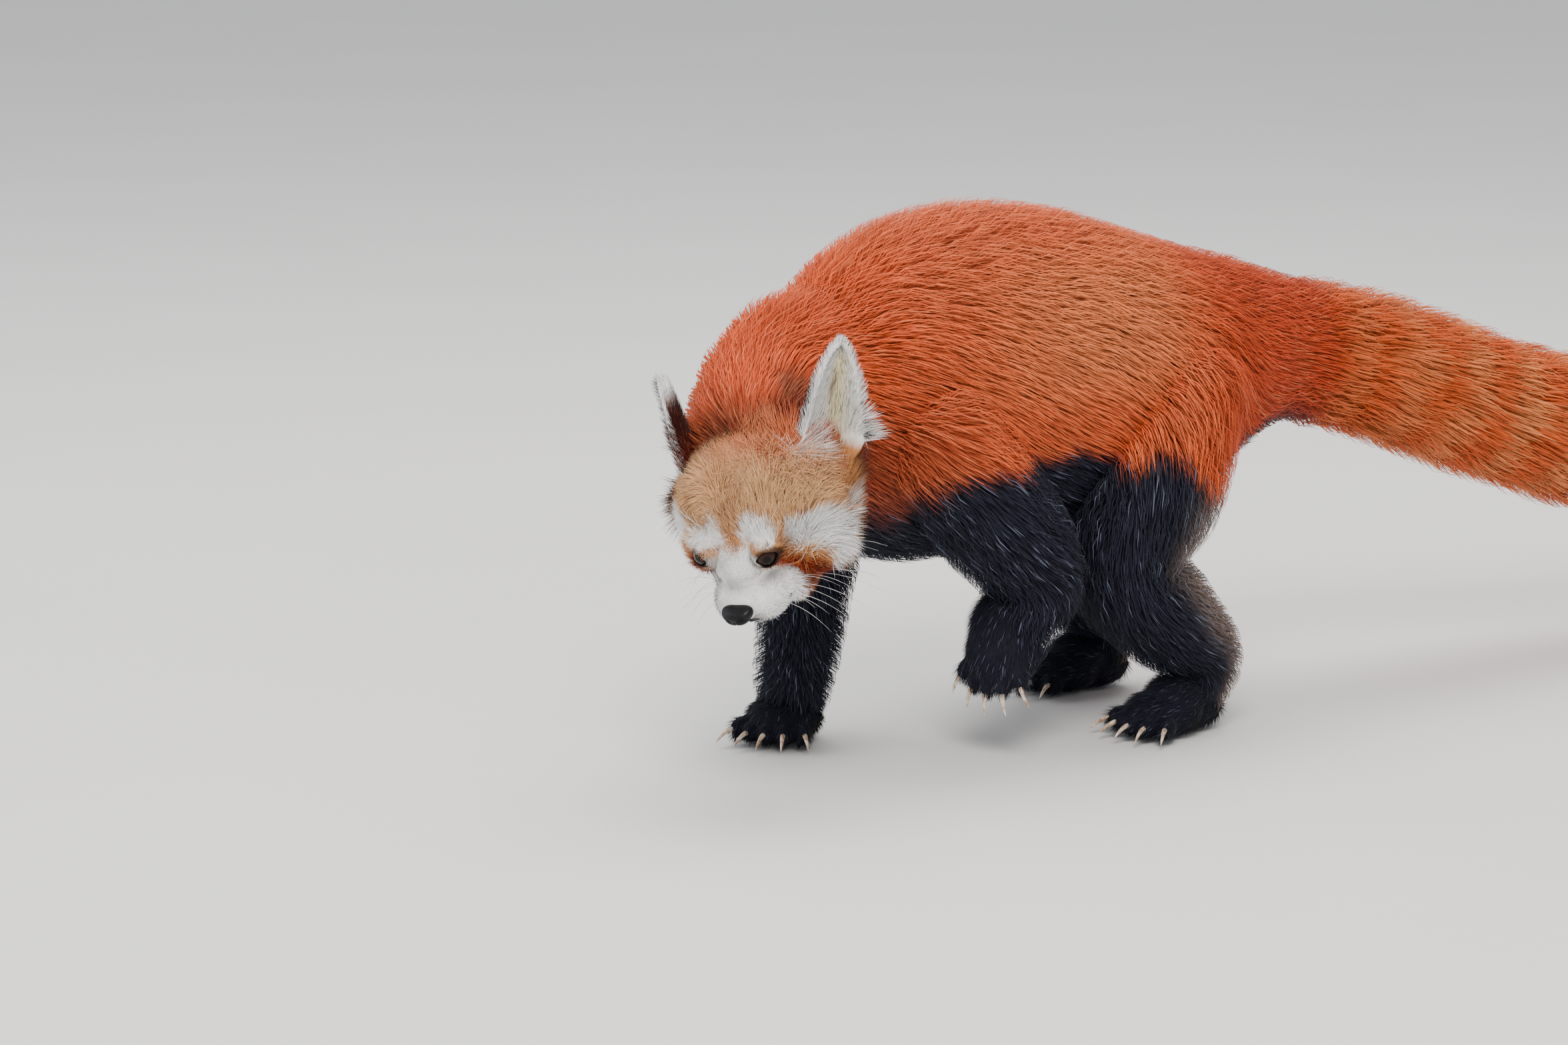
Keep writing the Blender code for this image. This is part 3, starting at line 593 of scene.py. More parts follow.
def earBackAndShade(points):
    # dark hair by the inner edge of each ear, on the head and the nape: partly the ear's own dark back hair,
    # partly painted shade at the ear's foot
    shade = np.zeros(len(points))
    for side in ("left", "right"):
        local = seenFrom(earMatrix(side), points)
        inner = -local[:, 1] if side == "left" else local[:, 1]
        near = ramp(inner, 0.008, 0.018) * ramp(0.042 - inner, 0, 0.012)
        near = near * ramp(0.030 - np.abs(local[:, 0] + 0.022), 0, 0.012)
        shade = np.maximum(shade, near * ramp(local[:, 2], 0.0, 0.012) * ramp(0.055 - local[:, 2], 0, 0.015))
    return shade


def earFoot(points, lift):
    # white hair at the foot of each ear's cup, which spreads forwards and inwards over the head
    foot = np.zeros(len(points))
    for side, inward, upward in (("left", 1.155, 0.19), ("right", -1.3, 0.6)):
        local = seenFrom(earMatrix(side), points)
        across = local[:, 1] + inward * local[:, 0]
        here = ramp(local[:, 0], -0.008, -0.002) * ramp(0.036 - local[:, 0], 0, 0.008)
        height = local[:, 2] - upward * local[:, 0] - lift
        here = here * ramp(0.025 - np.abs(across), 0, 0.006) * ramp(height, -0.002, 0.002)
        foot = np.maximum(foot, here)
    return foot


def bodyColours(points, normals, fields):
    c = coatColours
    x, z = points[:, 0], points[:, 2]
    line = np.interp(x, *zip(*flankLine)) + 0.005 * ripple(points, 0.035, 5)
    inner = ramp(-normals[:, 2], 0.25, 0.7) * ramp(0.215 - z, 0, 0.02)
    black = np.maximum(ramp(line - z, -0.007, 0.007), inner)
    # patch: painted sunlight, a paler upper flank where the sun falls
    patch = ramp(x, -0.11, 0.0) * ramp(0.13 - x, 0, 0.09) * ramp(z, 0.22, 0.27) * ramp(0.345 - z, 0, 0.05)
    base = washed(
        c["back"],
        (c["paintedSunlitFlank"], 0.75 * patch),
        (c["rump"], 0.85 * ramp(x, 0.07, 0.16)),
        # darker red low on the neck: partly the coat's own colour, partly painted shade
        (c["neck"], 0.9 * ramp(-x, 0.08, 0.14) * ramp(0.262 - z, 0, 0.05)),
        # dark by the ears: partly dark hair, partly painted shade
        (c["earBack"], 0.85 * earBackAndShade(points)),
    )
    base = base * (1 + 0.14 * ripple(points, 0.022, 8))[:, None]
    tip = mixed(base, c["backTip"], 0.36 * (1 - 0.55 * ramp(x, 0.06, 0.15)) * (1 - 0.4 * ramp(-x, 0.1, 0.16)))
    root = mixed(base, c["backRoot"], 0.32)
    # rear and grey: painted sunlight, the black fur at the back of the hind legs made grey brown where the
    # sun falls on it
    rear = np.exp(-np.maximum(np.minimum(fields["hindlegLeft"][0], fields["hindlegRight"][0]), 0) / 0.006)
    grey = rear * ramp(normals[:, 0], -0.1, 0.5) * ramp(x, 0.05, 0.09) * ramp(0.205 - z, 0, 0.05)
    dark = c["black"] * (1 + 0.25 * ripple(points, 0.018, 3))[:, None]
    # tips of black fur: partly painted bluish sheen
    darkTip = mixed(c["blackTipAndSheen"], c["paintedSunOnBlackFur"], 0.85 * grey)
    darkRoot = mixed(dark, c["paintedSunOnBlackFur"] * 0.35, 0.8 * grey)
    return mixed(root, darkRoot, black), mixed(tip, darkTip, black), black


def tailColours(points, share):
    c = coatColours
    wave = 0.5 + 0.5 * np.sin((share * tailRings + 0.15 * ripple(points, 0.03, 21)) * 2 * math.pi - 1.2)
    base = washed(
        c["tailRed"],
        (c["tailPale"], ramp(wave, 0.30, 0.85) * (0.15 + 0.55 * ramp(share, 0.05, 0.5))),
        (c["rump"], 0.8 * ramp(0.14 - share, 0, 0.12)),
        (c["tailTip"], ramp(share, 0.93, 0.985)),
    )
    base = base * (1 + 0.12 * ripple(points, 0.02, 9))[:, None]
    return base * 0.70, mixed(base, c["tailPale"], 0.20)


def faceChart(local):
    # degrees away from straight ahead: to the left and up
    offset = local + np.array((0.0, 0.0, 0.005))
    away = unit(offset)
    angle = np.degrees(np.arccos(np.clip(away[:, 0], -1, 1)))
    reach = np.maximum(np.hypot(away[:, 1], away[:, 2]), 1e-6)
    return angle * away[:, 1] / reach, angle * away[:, 2] / reach


def bandMask(a, b, line, soft):
    best = np.full(len(a), -9.0)
    for (a0, b0, w0), (a1, b1, w1) in zip(line, line[1:]):
        run, rise = a1 - a0, b1 - b0
        t = np.clip(((a - a0) * run + (b - b0) * rise) / (run * run + rise * rise), 0, 1)
        gap = np.hypot(a - a0 - run * t, b - b0 - rise * t)
        best = np.maximum(best, w0 + (w1 - w0) * t - gap)
    return ramp(best, -soft, soft)


faceSettings = {  # a band of colour, as points of the chart with half widths, and how soft its edge is
    "brow": (((12, 31, 4.5), (17, 35, 7.5), (24, 33, 7.5), (31, 29, 3.5)), 2.5),
    "cheek": (((44, 23, 6.5), (60, 15, 12), (82, -6, 13)), 2.5),
    "rim": (((61, -8, 6), (57, -25, 6), (49, -38, 7)), 2.5),
    "muzzle": (((0, 17, 5), (0, 3, 14), (0, -14, 25), (0, -34, 33)), 2.5),
    "bridge": (((5, 19, 5.5), (14, 17, 5)), 2.5),
    "lip": (((8, 8, 9.5), (19, -1, 9.5), (25, -16, 10)), 2.5),
    "tear": (((26, 15, 3), (35, 3, 6), (43, -10, 7.5), (43, -25, 8.5)), 1.8),
    "streak": (((0, 25, 3), (0, 35, 5.5), (0, 48, 7), (0, 68, 12)), 4),
    "grey": (((0, 6, 4), (0, 1, 6)), 3),
}


def eyeRing(points):
    # 1 on the edge of the opening between the lids, less inside it
    ring = np.full(len(points), 9.0)
    for side in (1, -1):
        seen = seenFrom(eyeMatrix(side), points)
        here = np.hypot(seen[:, 1] / eyeSettings["openAcross"], seen[:, 2] / eyeSettings["openTall"])
        ring = np.where(seen[:, 0] > -0.002, np.minimum(ring, here), ring)
    return ring


def faceColours(points, local):
    c = coatColours
    a, b = faceChart(local)
    a = np.abs(a) + 1.2 * ripple(points, 0.012, 31)
    b = b + 1.2 * ripple(points, 0.012, 32)
    bands = {name: bandMask(a, b, *band) for name, band in faceSettings.items()}
    white = np.maximum.reduce([bands[name] for name in ("brow", "cheek", "rim", "muzzle", "bridge", "lip")])
    behind = ramp(np.hypot(a, b), 112, 132)
    under = ramp(-b - 0.25 * a, 52, 66)
    foot = earFoot(points, 0.002)
    tear = bands["tear"]
    base = washed(
        c["tan"],
        (c["crown"], ramp(b + 0.25 * a, 66, 104)),
        (c["streak"], 0.85 * bands["streak"]),
        (c["crown"], 0.7 * ramp(a, 68, 96) * ramp(b, 5, 30)),
        (c["white"], white),
        # behind the head: darker red low down, partly painted shade, and the back's red higher up
        (mixed(c["neck"], c["back"], ramp(b, 20, 70)), behind),
        # dark by the ears: partly dark hair, partly painted shade
        (c["earBack"], 0.85 * earBackAndShade(points)),
        (c["black"], np.minimum(under, ramp(-local[:, 2], 0.012, 0.03))),
        (c["white"], foot),
        (c["tear"], tear),
        (c["tearDark"], 0.6 * tear * ramp(-b, 0, 22)),
        (c["muzzleGrey"], 0.55 * bands["grey"]),
        (c["lid"], ramp(1.36 - eyeRing(points), 0, 0.20)),
    )
    white = np.maximum(white * (1 - tear) * (1 - behind) * (1 - under), foot)
    above = (1 - white) * ramp(b, 16, 36) * (1 - behind)
    root = washed(base * 0.55, (c["whiteRoot"], white * 0.9), (c["tanRoot"], 0.7 * above))
    tip = mixed(base, c["tanTip"], 0.55 * above * (1 - 0.6 * ramp(b, 66, 104)))
    return root, tip, white


def earColours(t, s, front, outer):
    c = coatColours
    spine = np.exp(-((s - 0.1) ** 2) / 0.10) * ramp(0.95 - t, 0, 0.3)
    streak = np.exp(-((s + 0.05) ** 2) / 0.015) * ramp(t, 0.28, 0.4) * ramp(0.68 - t, 0, 0.15)
    inside = washed(c["white"], (c["earCream"], spine), (c["earGrey"], 0.75 * streak))
    rim = np.maximum(ramp(outer, 0.45, 0.8), ramp(t, 0.66, 0.84))
    rear = washed(c["earBack"], (c["neck"], 0.5 * ramp(0.5 - t, 0, 0.4)), (c["white"], rim))
    base = washed(rear, (inside, front), (c["tan"], ramp(0.04 - t, 0, 0.05)))
    return base * 0.90, base


# What each part's coat is like

coatSettings = {
    # length from the form's root to its end, how far tips stand off the skin (on the legs as far as the skin
    # lies under the outline), width, tufts to the square metre
    "torso": {"length": ((0, 0.026), (0.4, 0.029), (1, 0.033)), "rise": 0.0115, "width": 0.0010,
              "density": 255e3},
    "neck": {"length": ((0, 0.027), (1, 0.024)), "rise": 0.010, "width": 0.0010, "density": 260e3},
    "foreleg": {"length": ((0, 0.028), (0.4, 0.020), (0.8, 0.012), (1, 0.010)), "width": 0.00105,
                "density": 180e3},
    "hindleg": {"length": ((0, 0.032), (0.4, 0.024), (0.75, 0.015), (1, 0.010)), "width": 0.00105,
                "density": 180e3},
    "tail": {"length": ((0, 0.036), (0.25, 0.044), (0.85, 0.044), (1, 0.036)), "rise": 0.023, "width": 0.0011,
             "density": 300e3},
    # the head's lengths go by degrees away from straight ahead, and its rise and width by the length
    "head": {"length": ((0, 0.0035), (12, 0.0045), (30, 0.0075), (50, 0.0115), (80, 0.016), (110, 0.022),
                        (180, 0.024)),
             "ruff": 0.007, "ruffRise": 0.004, "rise": 0.30, "thinnest": 0.00055, "wider": 0.022,
             "density": 1100e3},
    "paw": {"length": 0.0075, "heel": 0.003, "rise": 0.0024, "width": 0.0008, "density": 330e3},
    # the ear's further lengths are for its cup, the tuft at its foot, the dark hair behind it and its tip
    "ear": {"length": 0.0072, "cup": 0.004, "lobe": 0.009, "shade": 0.006, "tip": -0.0026,
            "cupRise": 0.0035, "backRise": 0.0022, "width": 0.0007, "density": 750e3},
    # x over which the torso gives way to the tail
    "handover": {"tail": (0.195, 0.245), "torso": (0.215, 0.262)},
}

tuftSettings = {
    # where a tuft is cut along its length, so that it can bend, and the most tufts in a piece
    "cuts": {"fine": ((), 48000), "bent": ((0.5,), 19500), "tail": ((0.36, 0.72), 12000)},
    # a share below gives how many black tufts get painted glints on their tips
    "sunk": 0.0012, "overFloor": 0.0002, "endOverFloor": 0.0006, "clumpCell": 0.20, "glintShare": 0.07,
    "paleShare": 0.10, "patch": 0.003,
    # how far a tuft's lie strays from its neighbours' and waves with them, and the spread of its measures
    "stray": 0.05, "wave": 0.16, "lengths": (0.72, 1.18), "rises": (0.65, 1.15), "widths": (0.75, 1.2),
}

# layers of the coat: share of the density, of the width and of the length, and how strongly tips clump
layerSettings = {
    "body": {"bent": (0.66, 0.92, 1.0, 0.10), "fine": (1.35, 0.62, 0.96, 0.05)},
    "head": {"fine": (2.10, 0.72, 1.0, 0.14)},
    "ear": {"fine": (1.70, 0.75, 1.0, 0.16)},
    "paw": {"fine": (1.80, 0.75, 1.0, 0.14)},
}


def chainWeights(points, fields, reach):
    # how much of each chain's style a point takes, by kind, with the chain's measures
    for name, (gap, share, ahead) in fields.items():
        kind = name.replace("Left", "").replace("Right", "")
        weight = np.exp(-np.maximum(gap, 0) / reach) + 1e-6
        if kind == "tail":
            weight = weight * ramp(points[:, 0], *coatSettings["handover"]["tail"])
        if kind == "torso":
            weight = weight * (1 - 0.99 * ramp(points[:, 0], *coatSettings["handover"]["torso"]))
        yield name, kind, weight, share, ahead


def bodyStyle(points, normals):
    fields = measured(points)
    total, length, rise, width = np.zeros((4, len(points)))
    flow = np.zeros_like(points)
    tailShare = fields["tail"][1]
    weights = {}
    for name, kind, weight, share, ahead in chainWeights(points, fields, 0.009):
        style = coatSettings[kind]
        if kind == "torso":
            lie = np.tile((1.0, 0, 0), (len(points), 1))
            rump = ramp(points[:, 0], 0.13, 0.20)
            lie[:, 2] -= 0.5 * np.abs(normals[:, 1]) * (1 - rump) + 0.22 * rump
            lie[:, 2] -= 0.5 * ramp(-points[:, 0], 0.12, 0.19)
        elif kind == "neck":
            lie = -ahead + np.array((0.1, 0, -0.35))
        else:
            lie = ahead + (np.array((0.25, 0, 0)) if kind != "tail" else 0)
        lie = unit(lie)
        low, high = bodySettings["depth"][name]
        depth = low + (high - low) * share
        weights[name] = weight
        total += weight
        flow += lie * weight[:, None]
        length += np.interp(share, *zip(*style["length"])) * weight
        rise += style.get("rise", depth * 0.95) * weight
        width += style["width"] * weight
    length, rise, width = length / total, rise / total, width / total
    belly = ramp(points[:, 0], -0.17, -0.12) * ramp(0.18 - points[:, 0], 0, 0.04)
    belly = belly * ramp(-normals[:, 2], 0.3, 0.8) * (1 - weights["tail"] / total)
    length = length * (1 + 0.25 * belly)
    rise = rise * (1 - 0.35 * ramp(tailShare, 0.90, 1.0) * weights["tail"] / total)
    root, tip, black = bodyColours(points, normals, fields)
    tailRoot, tailTip = tailColours(points, tailShare)
    onTail = ramp(weights["tail"] / total, 0.3, 0.7)
    root, tip = mixed(root, tailRoot, onTail), mixed(tip, tailTip, onTail)
    return {"flow": flow, "length": length, "rise": rise, "width": width, "root": root, "tip": tip,
            "black": black * (1 - onTail), "onTail": onTail}


def headStyle(points):
    style = coatSettings["head"]
    local = headCoordinates(points)
    a, b = faceChart(local)
    side = np.abs(a)
    lie = local - np.array((0.088, 0.0, -0.010))
    lie[:, 2] -= 0.012 * ramp(side, 40, 80) * ramp(35 - b, 0, 40)
    flow = lie @ headAxes
    ruff = ramp(side, 48, 80) * ramp(30 - b, 0, 20)
    chin = ramp(-b, 20, 40) * ramp(35 - side, 0, 15)
    nearEye = np.exp(-((side - 23) ** 2 + (b - 22) ** 2) / 70)
    length = np.interp(np.hypot(a, b), *zip(*style["length"])) + style["ruff"] * ruff
    length = length * (1 - 0.35 * chin) * (1 - 0.5 * nearEye)
    rise = length * style["rise"] + style["ruffRise"] * ruff
    width = style["thinnest"] + style["wider"] * length
    root, tip, white = faceColours(points, local)
    # tips that reach into the cup of an ear are as white as its own hair
    foot = earFoot(points + unit(flow) * (0.75 * length)[:, None], 0.008)
    root = mixed(root, coatColours["white"], 0.4 * foot)
    tip = mixed(tip, coatColours["white"], foot)
    return {"flow": flow, "length": length, "rise": rise, "width": width, "root": root, "tip": tip,
            "lively": 0.05 + 0.20 * (1 - white)}


def earStyle(points, normals, side):
    style = coatSettings["ear"]
    place = np.array(earMatrix(side))
    faces, across, up = place[:3, :3].T
    local = seenFrom(place, points)
    t = np.clip(local[:, 2] / earSettings["height"], -0.3, 1.05)
    inside = np.clip(t, 0, 1)
    half = earSettings["halfWidth"] * (1 - 0.50 * inside) * np.sqrt(np.maximum(1 - inside**6, 0.05))
    s = np.clip(local[:, 1] / half, -1.2, 1.2)
    front = ramp(normals @ faces, -0.15, 0.15)
    outer = s if side == "left" else -s
    # a tuft at the foot of the outer edge points away from the head, and dark hair behind the inner edge
    # stands out past it
    lobe = ramp(0.30 - t, 0, 0.14) * ramp(outer, 0.3, 0.9)
    shade = (1 - front) * ramp(-outer, 0.2, 0.8) * ramp(0.60 - t, 0, 0.25)
    flow = up * (1 - 0.2 * np.abs(s) - 0.75 * lobe)[:, None]
    flow = flow + across * (s * (0.35 + 2.6 * lobe + 1.3 * shade))[:, None]
    length = style["length"] + style["cup"] * front * ramp(0.7 - t, 0, 0.5) + style["tip"] * ramp(t, 0.7, 1)
    length = length + style["lobe"] * lobe + style["shade"] * shade
    rise = np.where(front > 0.5, style["cupRise"], style["backRise"])
    root, tip = earColours(t, s, front, outer)
    return {"flow": flow, "length": length, "rise": rise, "width": np.full(len(t), style["width"]),
            "root": root, "tip": tip}


def pawStyle(points, name):
    place = np.array(pawMatrix(name))
    style = coatSettings["paw"]
    ones = np.ones(len(points))
    ahead = seenFrom(place, points)[:, 0]
    flow = place[:3, 0] - place[:3, 2] * (0.55 * ramp(ahead, -0.02, 0.02))[:, None]
    length = style["length"] * (1.25 - 0.45 * ramp(ahead, 0.018, 0.036))
    length = length + style["heel"] * ramp(-ahead, 0.0, 0.02)
    # paw tips: partly painted bluish sheen
    root, tip = coatColours["black"] * ones[:, None], coatColours["blackTipAndSheen"] * 0.8 * ones[:, None]
    return {"flow": flow, "length": length, "rise": style["rise"] * ones, "width": style["width"] * ones,
            "root": root, "tip": tip, "black": ones}


def styleOf(part, points, normals):
    if part == "body":
        return bodyStyle(points, normals)
    if part == "head":
        return headStyle(points)
    if part.endswith("Ear"):
        return earStyle(points, normals, part[:-3])
    return pawStyle(points, part)


# Parts of the face

noseSettings = {"at": (0.0750, 0.0, -0.0128), "size": (0.0066, 0.0100, 0.0052), "bare": 0.0105}

mouthSettings = {  # the lips' line is aimed from these places at the heart of the muzzle
    "aims": ((0.090, 0.0, -0.0235), (0.085, 0.012, -0.0265), (0.062, 0.050, -0.0280), (0.038, 0.070, -0.0250),
             (0.022, 0.070, -0.0200)),
    "heart": (0.040, 0.0, -0.020), "steps": 14, "thick": 0.0012,
}
headTree = BVHTree.FromObject(skinParts["head"], bpy.context.evaluated_depsgraph_get())


def onHead(aim, heart):
    # where the line from the aim to the heart meets the skin of the head
    start, middle = headPlace @ Vector(aim), headPlace @ Vector(heart)
    hit = headTree.ray_cast(start, (middle - start).normalized())[0]
    return hit if hit is not None else start.lerp(middle, 0.4)


def mouthLine():
    # from one corner of the mouth to the other
    sides = []
    for side in (1, -1):
        found = [onHead((x, y * side, z), mouthSettings["heart"]) for x, y, z in mouthSettings["aims"]]
        sides.append(smoothLine(found, mouthSettings["steps"]))
    return np.concatenate([sides[0][::-1], sides[1][1:]])


lipLine = mouthLine()


def tubeObject(name, lines, sides):
    # lines: lists of (point, radius). Each becomes a round tapering hair, cord or claw
    curve = bpy.data.curves.new(name, "CURVE")
    curve.dimensions = "3D"
    curve.bevel_depth = 1
    curve.bevel_resolution = sides
    curve.use_fill_caps = True
    for line in lines:
        spline = curve.splines.new("POLY")
        spline.points.add(len(line) - 1)
        for k, (point, radius) in enumerate(line):
            spline.points[k].co = (*point, 1)
            spline.points[k].radius = radius
    helper = linked(name + "Line", curve)
    mesh = bpy.data.meshes.new_from_object(helper.evaluated_get(bpy.context.evaluated_depsgraph_get()))
    bpy.data.objects.remove(helper)
    mesh.name = name
    mesh.shade_smooth()
    return linked(name, mesh)


def eyePiece(name, side):
    s = eyeSettings
    bm = bmesh.new()
    bmesh.ops.create_uvsphere(bm, u_segments=48, v_segments=32, radius=headSettings["eyeRadius"])
    turnForwards(bm)
    shades = []
    for vertex in bm.verts:
        off = math.hypot(vertex.co.y, vertex.co.z)
        if vertex.co.x > 0:
            vertex.co.x += s["cornea"] * max(0.0, 1 - (off / s["corneaReach"]) ** 2)
        if vertex.co.x < 0 or off > s["iris"]:
            shades.append(np.array(s["ballColour"]))
        elif off < s["pupil"]:
            shades.append(np.array(s["pupilColour"]))
        else:
            turn = math.atan2(vertex.co.z, vertex.co.y)
            spokes = 1 + 0.35 * math.sin(turn * 23) * math.sin(turn * 9 + 1)
            edge = (off - s["pupil"]) / (s["iris"] - s["pupil"])
            shades.append(np.array(s["irisColour"]) * spokes * (1.25 - 0.9 * edge**2))
    bm.transform(eyeMatrix(side))
    obj = meshObject(name, bm)
    paint(obj.data, "eyeColour", shades)
    obj.data.shade_smooth()
    return obj


def lidPiece(name, side):
    # the bare dark rim of the lids, an almond ring that lies on the eyeball
    bm = bmesh.new()
    bmesh.ops.create_circle(bm, cap_ends=False, segments=14, radius=eyeSettings["rim"])
    turnForwards(bm)
    bmesh.ops.translate(bm, verts=bm.verts, vec=(0, 1.0, 0))
    ring = bm.verts[:] + bm.edges[:]
    bmesh.ops.spin(bm, geom=ring, axis=(1, 0, 0), cent=(0, 0, 0), angle=math.tau, steps=56, use_merge=True)
    bmesh.ops.remove_doubles(bm, verts=bm.verts, dist=1e-6)
    radius = headSettings["eyeRadius"] + 0.0004
    for vertex in bm.verts:
        off = math.hypot(vertex.co.y, vertex.co.z)
        across, tall = almondAt(math.atan2(vertex.co.z, vertex.co.y))
        shift = 1 + (off - 1) / eyeSettings["openTall"]
        y, z = across * shift, tall * shift
        flat = min(math.hypot(y, z), radius * 0.97)
        lift = vertex.co.x
        vertex.co = Vector((math.sqrt(radius**2 - flat**2) + lift, y, z))
    bm.transform(eyeMatrix(side))
    obj = meshObject(name, bm)
    obj.data.shade_smooth()
    return obj


def nosePiece():
    bm = bmesh.new()
    bmesh.ops.create_uvsphere(bm, u_segments=72, v_segments=48, radius=1)
    size = noseSettings["size"]
    for vertex in bm.verts:
        x, y, z = vertex.co
        front = max(0.0, x)
        # broad above and narrow below, with comma-shaped nostrils and a groove between them
        square = (abs(x) ** 2.7 + abs(y) ** 2.7 + abs(z) ** 2.7) ** (-1 / 2.7)
        hole = ((abs(y) - 0.48) / 0.22) ** 2 + ((z - 0.26 - 0.35 * (abs(y) - 0.48)) / 0.24) ** 2
        slit = ((abs(y) - 0.74) / 0.20) ** 2 + ((z - 0.04) / 0.12) ** 2
        reach = 1 - 0.55 * front * math.exp(-hole) - 0.30 * front * math.exp(-slit)
        reach -= 0.10 * front * math.exp(-((y / 0.07) ** 2)) * (1 if z < 0.25 else 0.3)
        reach += 0.05 * front * math.exp(-(((z - 0.55) / 0.3) ** 2))
        reach, wide = reach * square, square * (1 + 0.16 * z) * (1 - 0.20 * x)
        vertex.co = Vector((x * size[0] * reach, y * size[1] * wide, z * size[2] * square))
    bmesh.ops.translate(bm, verts=bm.verts, vec=noseSettings["at"])
    bm.transform(headPlace)
    obj = meshObject("nosePiece", bm)
    obj.data.shade_smooth()
    return obj


def lipPiece():
    ends = np.abs(np.linspace(-1, 1, len(lipLine)))  # 1 at both corners of the mouth
    thick = mouthSettings["thick"] * (1 - 0.75 * ends**3)
    line = [(Vector(point), radius) for point, radius in zip(lipLine, thick)]
    middle = headPlace @ Vector((0.072, 0, -0.022))
    philtrum = [(middle.lerp(Vector(lipLine[len(lipLine) // 2]), k / 4), 0.0009) for k in range(5)]
    return tubeObject("lipPiece", [line, philtrum], 3)


def hairLine(root, way, bend, steps, thick, sunk=0.0):
    # a hair that leaves its root along way, bends and thins to its tip
    line = []
    for j in range(steps + 1):
        t = j / steps
        line.append((root + way * (t - sunk) + bend * t * t, thick * (1 - t) ** 0.7 + 0.00003))
    return line


def rootAt(start):
    return headTree.find_nearest(headPlace @ Vector(start))[0]


whiskerSettings = {
    "rows": 3, "inRow": 5, "long": 0.036, "longer": 0.009, "thick": 0.00015, "brows": 3, "browLong": 0.020,
    "bristles": 44, "bristleLong": (0.008, 0.016), "bristleThick": 0.00018,
}


def whiskerPiece(chance):
    s = whiskerSettings
    lines = []
    ahead, left, up = (headPlace.to_3x3().col[k] for k in range(3))
    sag = Vector((0, 0, -1)) * 0.80 - ahead * 0.20
    for side in (1, -1):
        for row in range(s["rows"]):
            for k in range(s["inRow"]):
                height = -0.011 - 0.0055 * row + 0.0008 * k
                root = rootAt((0.056 - 0.006 * k, side * (0.019 + 0.0025 * k), height))
                forwards = -0.15 - 0.20 * k + chance.uniform(-0.1, 0.1)
                upwards = 0.10 - 0.30 * row + chance.uniform(-0.15, 0.15)
                way = (ahead * forwards + left * side + up * upwards).normalized()
                size = (s["long"] + s["longer"] * k) * chance.uniform(0.8, 1.15)
                lines.append(hairLine(root, way * size, sag * size * 0.75, 8, s["thick"], 0.04))
        for k in range(s["brows"]):
            root = rootAt((0.040 - 0.004 * k, side * (0.016 + 0.004 * k), 0.024))
            way = (up + left * side * (0.3 + 0.3 * k) + ahead * 0.3).normalized() * s["browLong"]
            lines.append(hairLine(root, way, ahead * -0.5 * s["browLong"], 6, s["thick"]))
    for _ in range(s["bristles"]):
        root = rootAt((chance.uniform(0.030, 0.066), chance.uniform(-0.016, 0.016), -0.040))
        way = (ahead * chance.uniform(-0.1, 0.5) - up + left * chance.uniform(-0.3, 0.3)).normalized()
        size = chance.uniform(*s["bristleLong"])
        lines.append(hairLine(root, way * size, ahead * size * -0.4, 4, s["bristleThick"]))
    return tubeObject("whiskerPiece", lines, 1)


clawSettings = {
    "start": 0.0085, "long": 0.0145, "lift": 0.0012, "hook": 0.0074, "thick": 0.0018, "tip": 0.0002,
}


def clawPiece():
    s = clawSettings
    lines = []
    for name in pawSettings["places"]:
        place = pawMatrix(name)
        for middle, ahead in toePlaces():
            line = []
            for k in range(9):
                t = k / 8
                height = Vector((0, 0, s["lift"] - s["hook"] * t * t))
                here = place @ (middle + ahead * (s["start"] + s["long"] * t) + height)
                line.append((here, s["thick"] * (1 - t) ** 0.65 + s["tip"]))
            lines.append(line)
    return tubeObject("clawPiece", lines, 3)


# Growing the coat

def triangleData(obj):
    mesh = obj.data
    mesh.calc_loop_triangles()
    count = len(mesh.loop_triangles)
    points = readArray(mesh.vertices, "co", len(mesh.vertices), 3)
    normals = readArray(mesh.vertices, "normal", len(mesh.vertices), 3)
    corners = readArray(mesh.loop_triangles, "vertices", count, 3, np.int32)
    loops = readArray(mesh.loop_triangles, "loops", count, 3, np.int32)
    uv = readArray(mesh.uv_layers["OFBake"].data, "uv", len(mesh.loops), 2)
    return points, normals, corners, uv[loops]


def bodyDensity(points):
    total, density = np.zeros((2, len(points)))
    for _, kind, weight, _, _ in chainWeights(points, measured(points), 0.006):
        total += weight
        density += coatSettings[kind]["density"] * weight
    inHead = headGap(headCoordinates(points)) < -0.004
    return np.where(inHead, 0, density / total)


def headDensity(points):
    # thinner towards the back, and none on the nose, the eyes, the mouth and what the body covers
    local = headCoordinates(points)
    density = coatSettings["head"]["density"] * (1 - 0.55 * ramp(np.hypot(*faceChart(local)), 50, 110))
    fields = measured(points)
    bare = np.minimum(fields["neck"][0], fields["torso"][0]) < -0.003
    bare |= np.linalg.norm((local - np.array(noseSettings["at"])) / noseSettings["bare"], axis=1) < 1
    for side in (1, -1):
        seen = seenFrom(eyeMatrix(side), points)
        near = (seen[:, 1] / eyeSettings["bareAcross"]) ** 2 + (seen[:, 2] / eyeSettings["bareTall"]) ** 2 < 1
        bare |= (seen[:, 0] > 0) & near
        bare |= np.linalg.norm(seen, axis=1) < headSettings["eyeRadius"] + 0.0004
    for start, end in zip(lipLine, lipLine[1:]):
        run = end - start
        t = np.clip((points - start) @ run / (run @ run), 0, 1)
        bare |= np.linalg.norm(points - start - t[:, None] * run, axis=1) < mouthSettings["thick"]
    return np.where(bare, 0, density)


